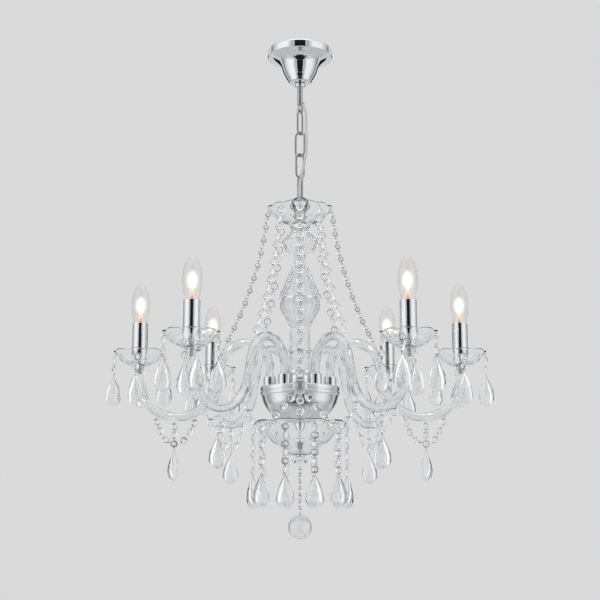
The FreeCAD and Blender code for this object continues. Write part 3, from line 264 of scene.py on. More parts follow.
@dataclass(frozen=True)
class Glass:
    """Clear pressed or cut glass with a little body colour, striae and polishing haze; on ribbed glass,
    painted shade along each rib.
    """

    name: str
    tint: Corner
    deep: Corner
    ior: float
    haze: float
    striae: float
    ribs: int = 0
    cover: float = 1.0

    def build(self) -> bpy.types.Material:
        """Make the material; on ribbed glass the colour darkens along each rib round the upright axis, a
        painted shade standing in for the dark streaks that the flutes refract.

        Returns:
            The material.
        """
        made, g = new_material(self.name)
        cloud = g.noise(g.place(), 26.0, 2.0)
        streak = g.noise(g.place((120.0, 120.0, 22.0)), 1.0, 2.0)
        depth = cloud
        if self.ribs:
            axes = g.axes()
            # painted shade: the glass colour darkens along each rib, standing in for the dark streaks
            # refracted by the flutes
            turn = g.calculate("ARCTAN2", axes["Y"], axes["X"])
            rib_shade = g.calculate("COSINE", turn * float(self.ribs))
            depth = (rib_shade * 0.9 - 0.1 + cloud * 0.3).clipped()
        colour = g.blend(depth, self.tint, self.deep)
        g.surface({"Base Color": colour, "Roughness": self.haze * streak, "IOR": self.ior,
                   "Transmission Weight": 1.0, "Alpha": self.cover,
                   "Normal": g.bump(streak, 0.001, self.striae)})
        return made


@dataclass(frozen=True)
class Glow:
    """Hot light source with a faint flicker of colour."""

    name: str
    colour: Corner
    edge: Corner
    strength: float

    def build(self) -> bpy.types.Material:
        """Make the material.

        Returns:
            The material.
        """
        made, g = new_material(self.name)
        flicker = g.noise(g.place(), 90.0, 1.0)
        colour = g.blend(flicker, self.colour, self.edge)
        g.surface({"Base Color": (*self.colour, 1.0), "Roughness": 0.4, "Emission Color": colour,
                   "Emission Strength": self.strength})
        return made


@dataclass(frozen=True)
class Halo:
    """Faint veil of light round a lamp's source, its share read from the piece's own attribute."""

    name: str
    colour: Corner
    strength: float
    share: float

    def build(self) -> bpy.types.Material:
        """Make the material.

        Returns:
            The material.
        """
        made, g = new_material(self.name)
        cloud = g.noise(g.place(), 60.0, 1.0)
        colour = g.blend(cloud, self.colour, tuple(0.97 * c for c in self.colour))
        veil = Value(g, g.node("ShaderNodeAttribute", {"attribute_name": "veil"}, {}).outputs["Fac"])
        g.surface({"Base Color": (*self.colour, 1.0), "Roughness": 1.0, "Specular IOR Level": 0.0,
                   "Emission Color": colour, "Emission Strength": self.strength, "Alpha": veil * self.share})
        return made


@dataclass(frozen=True)
class Moulded:
    """Moulded plastic with a fine moulded grain."""

    name: str
    tint: Corner
    shade: Corner
    roughness: float
    clear: float

    def build(self) -> bpy.types.Material:
        """Make the material.

        Returns:
            The material.
        """
        made, g = new_material(self.name)
        grain = g.noise(g.place(), 900.0, 2.0)
        cloud = g.noise(g.place(), 45.0, 3.0)
        colour = g.blend(cloud, self.tint, self.shade)
        g.surface({"Base Color": colour, "Roughness": self.roughness + 0.12 * cloud, "IOR": 1.47,
                   "Transmission Weight": self.clear, "Normal": g.bump(grain, 0.0002, 0.12)})
        return made


class Finishes:
    """Every finish of the chandelier, made once."""

    def __init__(self) -> None:
        """Make the materials."""
        self.chrome = Plated("chrome", tint=(0.83, 0.84, 0.85), dull=(0.74, 0.75, 0.77),
                             roughness=0.03, smear=0.05, lay=0.02).build()
        # painted shade: a darker copy of chrome, its low tint standing in for the dark reflections on the
        # chain links, top ring and hanging rod
        self.shaded_chrome = Plated("chrome_painted_dark", tint=(0.50, 0.50, 0.50), dull=(0.38, 0.38, 0.39),
                             roughness=0.06, smear=0.06, lay=0.03).build()
        self.satin = Plated("satin_chrome", tint=(0.84, 0.85, 0.86), dull=(0.76, 0.77, 0.78),
                            roughness=0.16, smear=0.06, lay=0.04).build()
        self.wire = Plated("plated_wire", tint=(0.80, 0.80, 0.79), dull=(0.66, 0.66, 0.66),
                           roughness=0.10, smear=0.10, lay=0.05).build()
        self.zinc = Plated("zinc_steel", tint=(0.62, 0.63, 0.64), dull=(0.46, 0.47, 0.49),
                           roughness=0.30, smear=0.18, lay=0.10).build()
        self.arm_glass = Glass("arm_glass", tint=(0.985, 0.99, 0.99), deep=(0.96, 0.972, 0.972),
                               ior=1.49, haze=0.015, striae=0.05).build()
        self.cup_glass = Glass("pressed_glass", tint=(0.985, 0.99, 0.992), deep=(0.955, 0.968, 0.97),
                               ior=1.35, haze=0.02, striae=0.06).build()
        # bell and vases: their deep colour falls along each rib as painted shade
        self.bell_glass = Glass("moulded_glass", tint=(0.975, 0.978, 0.98), deep=(0.90, 0.905, 0.91),
                                ior=1.18, haze=0.02, striae=0.04, ribs=12, cover=0.45).build()
        self.vase_glass = Glass("blown_glass", tint=(0.985, 0.988, 0.99), deep=(0.83, 0.84, 0.85),
                                ior=1.24, haze=0.02, striae=0.05, ribs=20, cover=0.62).build()
        self.lamp_glass = Glass("lamp_glass", tint=(0.985, 0.975, 0.96), deep=(0.965, 0.952, 0.935),
                                ior=1.30, haze=0.01, striae=0.02).build()
        self.crystal = Glass("cut_crystal", tint=(0.99, 0.99, 0.995), deep=(0.975, 0.978, 0.985),
                             ior=1.64, haze=0.01, striae=0.0).build()
        self.plastic = Moulded("white_plastic", tint=(0.86, 0.85, 0.82), shade=(0.78, 0.77, 0.74),
                               roughness=0.38, clear=0.0).build()
        self.flex = Moulded("clear_flex", tint=(0.80, 0.80, 0.78), shade=(0.70, 0.70, 0.69),
                            roughness=0.18, clear=0.35).build()
        self.source = Glow("lamp_source", colour=(1.0, 0.95, 0.86), edge=(1.0, 0.90, 0.74),
                           strength=3.0).build()
        self.filament = Glow("lamp_filament", colour=(1.0, 0.50, 0.16), edge=(1.0, 0.36, 0.08),
                             strength=1.6).build()
        self.halo = Halo("lamp_halo", colour=(1.0, 0.955, 0.89), strength=1.35, share=0.42).build()


# surfaces


class Surface:
    """Points in millimetres, faces, finishes and shading of one piece, gathered patch by patch."""

    def __init__(self) -> None:
        """Start with nothing."""
        self.points: list[Array] = []
        self.faces: list[list[int]] = []
        self.finish: list[int] = []
        self.smooth: list[bool] = []
        self.count = 0

    def add(self, points: Array, faces: Iterable[Array], finish: int = 0,
            shading: Shading = Shading.SMOOTH) -> None:
        """Add points and faces that number them from zero.

        Args:
            points: (n, 3) array.
            faces: arrays of corner numbers, each (m, sides).
            finish: material slot number.
            shading: smooth or cut.
        """
        for block in faces:
            rows = (np.asarray(block) + self.count).tolist()
            self.faces += rows
            self.finish += [finish] * len(rows)
            self.smooth += [shading is Shading.SMOOTH] * len(rows)
        self.points.append(points)
        self.count += len(points)

    def grids(self, points: Array, close_u: bool, close_v: bool, finish: int = 0,
              shading: Shading = Shading.SMOOTH) -> None:
        """Add a batch of grids: quads between neighbours, joined round where closed.

        Args:
            points: (n, rows, columns, 3) array.
            close_u: join the last row to the first.
            close_v: join the last column to the first.
            finish: material slot number.
            shading: smooth or cut.
        """
        batch, rows, columns, _ = points.shape
        number = np.arange(rows * columns).reshape(rows, columns)
        if close_u:
            number = np.vstack([number, number[:1]])
        if close_v:
            number = np.hstack([number, number[:, :1]])
        quads = np.stack([number[:-1, :-1], number[:-1, 1:], number[1:, 1:], number[1:, :-1]], axis=-1)
        every = quads.reshape(1, -1, 4) + (np.arange(batch) * rows * columns)[:, None, None]
        self.add(points.reshape(-1, 3), [every.reshape(-1, 4)], finish, shading)

    def turned(self, corners: Sequence[Corner], steps: int, around: int, level: float = 0.0,
               spot: Corner = (0.0, 0.0), finish: int = 0, close: bool = True) -> "Surface":
        """Add a plain turned form.

        Args:
            corners: its outline, as outline() takes it.
            steps: divisions of each edge.
            around: number of columns.
            level: height of the outline's zero.
            spot: axis in plan.
            finish: material slot number.
            close: join the outline's ends, as for a ring or a hollow form.

        Returns:
            This surface, so that a piece of one form can be dressed at once.
        """
        line = outline(corners, steps, close)
        self.grids(lathe(line, around, level, None, None, spot), close, True, finish)
        return self

    def copies(self, cut: "Cut", frames: Array, places: Array, finish: int = 0) -> None:
        """Add copies of a cut stone: point = frame times local point plus place.

        Args:
            cut: the stone.
            frames: (n, 3, 3) array whose columns are the stone's axes.
            places: (n, 3) array.
            finish: material slot number.
        """
        world = np.einsum("nij,mj->nmi", frames, cut.points) + places[:, None, :]
        step = (np.arange(len(places)) * len(cut.points))[:, None, None]
        blocks = [(np.asarray(block)[None] + step).reshape(-1, len(block[0])) for block in cut.faces]
        self.add(world.reshape(-1, 3), blocks, finish, Shading.CUT)

    def piece(self, name: str, finishes: Sequence[bpy.types.Material],
              crease: float = 38.0) -> bpy.types.Object:
        """Write the mesh, in metres, with its seams and poles merged.

        Args:
            name: object name.
            finishes: materials by slot number.
            crease: edges that turn by more degrees are sharp.

        Returns:
            The new object, at the origin.
        """
        mesh = bpy.data.meshes.new(name)
        mesh.from_pydata((np.vstack(self.points) * MM).tolist(), [], self.faces)
        for material in finishes:
            mesh.materials.append(material)
        mesh.polygons.foreach_set("material_index", self.finish)
        mesh.polygons.foreach_set("use_smooth", self.smooth)
        work = bmesh.new()
        work.from_mesh(mesh)
        bmesh.ops.remove_doubles(work, verts=work.verts, dist=2e-7)
        work.to_mesh(mesh)
        work.free()
        mesh.set_sharp_from_angle(angle=math.radians(crease))
        made = bpy.data.objects.new(name, mesh)
        bpy.context.scene.collection.objects.link(made)
        log.info("%s: %d faces", name, len(mesh.polygons))
        return made

    def dress(self, name: str, finishes: Sequence[bpy.types.Material], slot: str, nodes: Sequence[str],
              body: str = Body.FITTING.value, crease: float = 38.0) -> bpy.types.Object:
        """Write the piece and say what it belongs to.

        Args:
            name: object name.
            finishes: materials by slot number.
            slot: the record's material slot; not used.
            nodes: nodes that it stands for.
            body: body that it rides on.
            crease: edges that turn by more degrees are sharp.

        Returns:
            The new object.
        """
        made = self.piece(name, finishes, crease)
        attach(made, body)
        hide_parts(*nodes)
        return made


def outline(corners: Sequence[Corner], steps: int = 8, close: bool = True) -> Array:
    """Fine (radius, height) outline through corners (radius, height, sweep of the edge that leaves it).

    An edge with a sweep is a circle arc that turns by that many degrees, counter-clockwise when positive:
    centre = middle + side * half chord / tan(half sweep). A straight edge is divided evenly.

    Args:
        corners: the outline's corners.
        steps: divisions of each edge.
        close: also run from the last corner to the first.

    Returns:
        (n, 2) array.
    """
    runs = []
    count = len(corners) if close else len(corners) - 1
    share = np.arange(steps) / steps
    for i in range(count):
        start = np.array(corners[i][:2], float)
        end = np.array(corners[(i + 1) % len(corners)][:2], float)
        sweep = math.radians(corners[i][2]) if len(corners[i]) > 2 else 0.0
        if not sweep:
            runs.append(start + (end - start) * share[:, None])
            continue
        chord = end - start
        centre = (start + end) / 2.0 + np.array([-chord[1], chord[0]]) / 2.0 / math.tan(sweep / 2.0)
        turn = sweep * share
        arm = start - centre
        spin = np.stack([arm[0] * np.cos(turn) - arm[1] * np.sin(turn),
                         arm[0] * np.sin(turn) + arm[1] * np.cos(turn)], axis=-1)
        runs.append(centre + spin)
    if not close:
        runs.append(np.array([corners[-1][:2]], float))
    return np.vstack(runs)


def lathe(line: Array, around: int, level: float = 0.0, widen: Optional[Array] = None,
          lift: Optional[Array] = None, centre: Corner = (0.0, 0.0), turn: float = 0.0) -> Array:
    """Surface of revolution: P(u, v) = ((r + widen) cos v, (r + widen) sin v, z + lift).

    Args:
        line: (n, 2) outline of radius and height.
        around: number of columns.
        level: height of the outline's zero.
        widen: change of radius over (u, v), or none.
        lift: change of height over (u, v), or none.
        centre: axis in plan.
        turn: degrees to the first column.

    Returns:
        (1, n, around, 3) grid.
    """
    angle = (2.0 * math.pi * np.arange(around) / around + math.radians(turn))[None, :]
    radius = line[:, :1] + (0.0 if widen is None else widen)
    height = line[:, 1:] + level + (0.0 if lift is None else lift) + 0.0 * angle
    grid = np.stack([centre[0] + radius * np.cos(angle), centre[1] + radius * np.sin(angle), height], axis=-1)
    return grid[None]


def columns(around: int) -> Array:
    """Column angles of a lathe, as a row of radians."""
    return (2.0 * math.pi * np.arange(around) / around)[None, :]


def tube(path: Array, across: Array, radius: Union[float, Array], around: int, lobes: int = 0,
         depth: float = 0.0, twist: float = 0.0) -> Array:
    """Round or lobed tube: P(u, a) = path + R (cos a N + sin a B).

    R = radius (1 + depth cos(lobes (a + 2 pi twist s))), with s the share along the line.

    Args:
        path: (n, 3) centre line.
        across: direction B that the line never runs along; N is B x tangent.
        radius: tube radius, or one per path point.
        around: number of columns.
        lobes: ribs round the tube.
        depth: rib depth as a share of the radius.
        twist: turns of the ribs over the whole line.

    Returns:
        (n, around, 3) grid.
    """
    tangent = np.gradient(path, axis=0)
    tangent /= np.linalg.norm(tangent, axis=1, keepdims=True)
    normal = np.cross(across, tangent)
    normal /= np.linalg.norm(normal, axis=1, keepdims=True)
    side = np.cross(tangent, normal)
    angle = columns(around)
    share = np.linspace(0.0, 2.0 * math.pi * twist, len(path))[:, None]
    size = np.broadcast_to(np.asarray(radius, float), (len(path),))[:, None]
    size = size * (1.0 + depth * np.cos(lobes * (angle + share)))
    ring = np.cos(angle)[..., None] * normal[:, None, :] + np.sin(angle)[..., None] * side[:, None, :]
    return path[:, None, :] + size[..., None] * ring


def ring_tube(path: Array, across: Array, radius: float, around: int) -> Array:
    """Tube round a closed flat line, with the tangent taken across its seam.

    Args:
        path: (n, 3) closed centre line.
        across: unit normal of the line's plane.
        radius: tube radius.
        around: number of columns.

    Returns:
        (n, around, 3) grid.
    """
    tangent = np.roll(path, -1, axis=0) - np.roll(path, 1, axis=0)
    tangent /= np.linalg.norm(tangent, axis=1, keepdims=True)
    normal = np.cross(across, tangent)
    angle = columns(around)
    ring = np.cos(angle)[..., None] * normal[:, None, :] + np.sin(angle)[..., None] * across
    return path[:, None, :] + radius * ring


class Cut:
    """Cut stone through rings of corners, with flat facets."""

    def __init__(self, rings: Sequence[Array], staggered: Sequence[bool]) -> None:
        """Join rings in order.

        Args:
            rings: (sides, 3) arrays from the low end up; a (1, 3) array is a point.
            staggered: for each neighbouring pair, whether the upper ring is half a step on, which
                cuts triangles.
        """
        start = np.cumsum([0] + [len(r) for r in rings])
        self.points = np.vstack(rings)
        triangles, quads, caps = [], [], []
        for i, half in enumerate(staggered):
            low, high = np.arange(start[i], start[i + 1]), np.arange(start[i + 1], start[i + 2])
            if len(low) == 1:
                triangles.append(np.stack([np.roll(high, -1), high, np.repeat(low, len(high))], axis=-1))
            elif len(high) == 1:
                triangles.append(np.stack([low, np.roll(low, -1), np.repeat(high, len(low))], axis=-1))
            elif half:
                triangles.append(np.stack([low, np.roll(low, -1), high], axis=-1))
                triangles.append(np.stack([np.roll(low, -1), np.roll(high, -1), high], axis=-1))
            else:
                quads.append(np.stack([low, np.roll(low, -1), np.roll(high, -1), high], axis=-1))
        if len(rings[0]) > 1:
            caps.append(np.arange(start[0], start[1])[::-1][None])
        if len(rings[-1]) > 1:
            caps.append(np.arange(start[-2], start[-1])[None])
        self.faces = [np.vstack(b) for b in (triangles, quads) if b] + caps


def circle(radius: float, height: float, sides: int, half_steps: int = 0) -> Array:
    """Ring of corners: radius at angles 2 pi (i + half_steps / 2) / sides, at one height."""
    angle = 2.0 * math.pi * (np.arange(sides) + half_steps / 2.0) / sides
    return np.stack([radius * np.cos(angle), radius * np.sin(angle), np.full(sides, height)], axis=-1)


def ringed_stone(radius: float, half: float, sides: int, sizes: Sequence[Corner]) -> Cut:
    """Stone of staggered rings between flat tables, by their shares of radius and half thickness."""
    rings = [circle(wide * radius, high * half, sides, i) for i, (wide, high) in enumerate(sizes)]
    return Cut(rings, [True] * (len(rings) - 1))


def octagon_stone(radius: float, half: float) -> Cut:
    """Octagon lying in XY: tables, crown rings half a side off, and a girdle with corners on X.

    Args:
        radius: girdle radius.
        half: half the thickness.

    Returns:
        The stone.
    """
    table = 0.26
    crown = 0.66
    rings = [circle(table * radius, -half, 8), circle(crown * radius, -crown * half, 8, -1),
             circle(radius, 0.0, 8), circle(crown * radius, crown * half, 8, 1),
             circle(table * radius, half, 8, 2)]
    return Cut(rings, [True] * 4)


def rosette_stone(radius: float, half: float) -> Cut:
    """Rosette lying in XY: a star of twelve lobes in five staggered rings between small tables."""
    sizes = [(0.14, -1.0), (0.42, -0.78), (0.74, -0.40), (1.0, 0.0), (0.74, 0.40), (0.42, 0.78), (0.14, 1.0)]
    return ringed_stone(radius, half, 12, sizes)


def pear_stone(width: float, length: float, thick: float) -> Cut:
    """Flat pear drop hanging from the origin, thin along X.

    Outline: y = w sin t sin(t/2)^1.2, z = -L (1 - cos t) / 2. Rings of the outline shrink towards
    a lower point and move out along X to a flat table on each face.

    Args:
        width: full width along Y.
        length: full height.
        thick: full thickness along X.

    Returns:
        The stone.
    """
    sides = 12
    widest = 0.742
    middle = -0.60 * length
    cuts = [(0.20, -1.0, 0.0), (0.72, -0.62, 0.5), (1.0, -0.08, 0.0),
            (1.0, 0.08, 0.0), (0.72, 0.62, 0.5), (0.20, 1.0, 0.0)]
    rings = []
    for scale, out, shift in cuts:
        t = 2.0 * math.pi * (np.arange(sides) + shift) / sides + 0.02
        x = np.full(sides, out * thick / 2.0)
        y = width / 2.0 * np.sin(t) * np.abs(np.sin(t / 2.0)) ** 1.2 / widest
        z = -length * (1.0 - np.cos(t)) / 2.0
        rings.append(np.stack([x, y * scale, middle + (z - middle) * scale], axis=-1))
    return Cut(rings, [True, True, False, True, True])


def ball_stone(radius: float, sides: int, rows: int) -> Cut:
    """Cut ball: staggered rings on a sphere, with small flat ends.

    Args:
        radius: ball radius.
        sides: corners of each ring.
        rows: number of rings.

    Returns:
        The stone.
    """
    end = 0.16
    angle = np.linspace(end, math.pi - end, rows)
    return ringed_stone(radius, radius, sides, [(math.sin(a), -math.cos(a)) for a in angle])


# routes of beads


@dataclass
class Beads:
    """Stones along a line and the wire loops between them."""

    places: Array
    along: Array
    facing: Array
    starts: Array
    ends: Array

    def frames(self) -> Array:
        """Stone axes as columns: X along the line, Z facing out."""
        side = np.cross(self.facing, self.along)
        return np.stack([self.along, side, self.facing], axis=-1)


def unit(vector: Array) -> Array:
    """Vectors of length one."""
    return vector / np.linalg.norm(vector, axis=-1, keepdims=True)


def hanging(line: Array, outward: Array, radius: float = BEAD, gap: float = BEAD_GAP, tail: float = 0.0,
            swing: float = 1.0) -> Beads:
    """Beads spaced evenly along a line, turned a little each way about it.

    Args:
        line: (n, 3) polyline.
        outward: direction that the beads face.
        radius: bead radius.
        gap: wished space between beads.
        tail: bare wire at the line's end.
        swing: share of the full turn each way.

    Returns:
        The beads and their wire loops.
    """
    run = np.concatenate([[0.0], np.cumsum(np.linalg.norm(np.diff(line, axis=0), axis=1))])
    strung = run[-1] - tail
    count = max(1, int((strung - gap) / (2.0 * radius + gap) + 0.35))
    space = (strung - 2.0 * radius * count) / (count + 1)

    def on_line(s: Array) -> Array:
        """Points at distances along the line."""
        return np.stack([np.interp(s, run, line[:, i]) for i in range(3)], axis=-1)

    s = space + radius + np.arange(count) * (2.0 * radius + space)
    places = on_line(s)
    along = unit(on_line(s + radius) - on_line(s - radius))
    flat = unit(outward - along * (along @ outward)[:, None])
    twist = swing * np.radians(np.where(np.arange(count) % 2 == 1, TURN_ODD, TURN_EVEN))[:, None]
    facing = flat * np.cos(twist) + np.cross(along, flat) * np.sin(twist)
    starts = np.vstack([line[:1], places + along * radius])
    ends = np.vstack([places - along * radius, line[-1:]])
    return Beads(places, along, facing, starts, ends)


def sagging(start: Array, end: Array, sag: float, bow: Optional[Array] = None) -> Array:
    """Line that hangs and bows most at its middle: both follow 4 u (1 - u).

    Args:
        start: first end.
        end: second end.
        sag: how far the middle hangs.
        bow: further shift of the middle, or none.

    Returns:
        (25, 3) array.
    """
    u = np.linspace(0.0, 1.0, 25)[:, None]
    lift = 4.0 * u * (1.0 - u)
    lean = DOWN * sag + (0.0 if bow is None else bow)
    return start + (end - start) * u + lift * lean


def polar(radius: float, degrees: float, height: float) -> Array:
    """Point at a radius and an angle in plan, at a height."""
    turn = math.radians(degrees)
    return np.array([radius * math.cos(turn), radius * math.sin(turn), height])


def wire_loops(surface: Surface, starts: Array, ends: Array, facing: Array, finish: int) -> None:
    """Oval wire rings that join stones.

    Each is centre + h cos t along + w sin t facing, with h half the space plus the stones' rims,
    carried by a square wire section.

    Args:
        surface: where the rings go.
        starts: (n, 3) ends of the stones above.
        ends: (n, 3) ends of the stones below.
        facing: (n, 3) or (3,) directions across the loops.
        finish: material slot number.
    """
    span = ends - starts
    length = np.linalg.norm(span, axis=1, keepdims=True)
    along = span / np.maximum(length, 1e-6)
    flat = unit(facing - along * np.sum(along * facing, axis=1, keepdims=True))
    side = np.cross(along, flat)
    t = columns(LOOP_POINTS)[..., None]
    half = (length / 2.0 + LOOP_REACH)[:, None, :]
    middle = ((starts + ends) / 2.0)[:, None, :]
    line = middle + half * np.cos(t) * along[:, None, :] + LOOP_HALF * np.sin(t) * flat[:, None, :]
    normal = np.cos(t) * along[:, None, :] + np.sin(t) * flat[:, None, :]
    a = columns(WIRE_SIDES)[None, ..., None]
    section = np.cos(a) * normal[:, :, None, :] - np.sin(a) * side[:, None, None, :]
    surface.grids(line[:, :, None, :] + LOOP_WIRE * section, True, True, finish)


# sub-assemblies


@dataclass
class CeilingFixing:
    """Canopy cup, its collar, the hanging rod and the hidden fixing parts."""

    finishes: Finishes
    canopy_radius: float = 65.5
    canopy_band: float = 14.0
    canopy_depth: float = 68.0
    collar_drop: float = 8.2
    rod_radius: float = 5.5
    rod_bore: float = 3.5
    rod_end: float = 130.0
    tab_half: float = 2.5
    tab_reach: float = 5.4
    tab_height: float = 15.0
    eye_radius: float = 2.9
    eye_rise: float = 4.5
    yaw: float = 60.0
    outlet_level: float = -104.0
    outlet_lead: Corner = (0.5332, -0.3078, -0.788)
    grommet_reach: float = 9.6
    grommet_radius: float = 3.2
    grommet_wire: float = 0.8

    def build(self) -> None:
        """Build and dress the fixing."""
        self.build_canopy()
        self.build_rod()
        recoat("ceiling_bracket", self.finishes.zinc)
        recoat("rod_nut", self.finishes.zinc)
        recoat("terminal_block", self.finishes.plastic)

    def build_canopy(self) -> None:
        """Spun cup with a rolled flange, and the collar under it."""
        surface = Surface()
        deep = self.canopy_depth
        wide = self.canopy_radius
        brim = deep - self.canopy_band
        surface.turned([
            (5.9, 0.0), (18.0, 0.0, 75.0), (24.0, 5.0, 22.0), (37.0, brim - 20.0, -52.0),
            (wide - 2.5, brim - 1.2, 30.0), (wide - 0.6, brim - 0.4, 60.0), (wide, brim + 0.4),
            (wide, deep - 0.5), (wide - 0.5, deep), (wide - 1.2, deep), (wide - 1.2, brim + 0.9),
            (wide - 2.5, brim, 52.0), (35.8, brim - 19.8, -22.0), (22.8, 5.2, -75.0), (18.0, 1.2),
            (5.9, 1.2)], 7, 128, -deep)
        surface.turned([(5.65, 0.0), (7.6, 0.0, 90.0), (10.5, 2.9), (10.5, 5.1, 90.0), (7.6, 8.0),
                        (5.65, 8.0)], 6, 64, -deep - self.collar_drop)
        surface.dress("canopy_cup", [self.finishes.chrome], "chrome", ["canopy", "canopy_collar"],
                      Body.CANOPY.value, 50.0)

    def build_rod(self) -> None:
        """Tube, flattened eye and the grommet where the flex comes out."""
        surface = Surface()
        shoulder = -self.rod_end + self.tab_height
        rod = self.rod_radius
        line = outline([(0.0, shoulder), (rod - 0.6, shoulder, 60.0), (rod, shoulder + 0.8), (rod, -14.5),
                        (rod - 0.5, -14.5), (rod - 0.5, -4.6), (self.rod_bore, -4.6),
                        (self.rod_bore, shoulder + 6.0), (0.0, shoulder + 6.0)], 4)
        surface.grids(lathe(line, 48), False, True)
        surface.grids(self.eye(), True, True)
        surface.grids(self.grommet(), True, True)
        surface.dress("hanging_tube", [self.finishes.shaded_chrome], "chrome", ["hanging_rod"], Body.CEILING.value)

    def eye(self) -> Array:
        """Flat tab with a round eye: outer edge (x^-8 + z^-8)^(-1/8), of the reach each way.

        Returns:
            (1, rows, columns, 3) grid.
        """
        angle = columns(64)[0]
        reach = self.tab_reach / np.maximum(np.abs(np.cos(angle)), 1e-9)
        fall = np.where(np.sin(angle) > 0, self.tab_height - self.eye_rise + 0.5, self.eye_rise)
        rise = fall / np.maximum(np.abs(np.sin(angle)), 1e-9)
        edge = (reach ** -8.0 + rise ** -8.0) ** -0.125
        half = self.tab_half
        rows = [(self.eye_radius, 0.6, half - 0.5), (self.eye_radius, 1.1, half), (edge, -0.5, half),
                (edge, 0.0, half - 0.5), (edge, 0.0, 0.5 - half), (edge, -0.5, -half),
                (self.eye_radius, 1.1, -half), (self.eye_radius, 0.6, 0.5 - half)]
        normal = polar(1.0, self.yaw, 0.0)
        flat = polar(1.0, self.yaw + 90.0, 0.0)
        grid = []
        for base, grow, out in rows:
            size = (base + grow) * np.ones_like(angle)
            place = (size * np.cos(angle))[:, None] * flat + (size * np.sin(angle))[:, None] * -DOWN
            grid.append(place + normal * out - DOWN * (-self.rod_end + self.eye_rise))
        return np.stack(grid)[None]

    def grommet(self) -> Array:
        """Ring round the flex at its outlet: centre + radius (cos a first + sin a second).

        Returns:
            (1, rows, columns, 3) grid.
        """
        angle = columns(64)[0][:, None]
        lead = np.array(self.outlet_lead)
        first = unit(np.cross(lead, DOWN))
        second = np.cross(lead, first)
        centre = lead * self.grommet_reach - DOWN * self.outlet_level
        ring = centre + self.grommet_radius * (np.cos(angle) * first + np.sin(angle) * second)
        return ring_tube(ring, lead, self.grommet_wire, 10)[None]


def recoat(node: str, material: bpy.types.Material) -> None:
    """Give a carried-over node its finish.

    Args:
        node: name of the node.
        material: its finish.
    """
    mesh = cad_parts[node].data
    mesh.materials.clear()
    mesh.materials.append(material)
    log.info("%s: kept, %s", node, material.name)


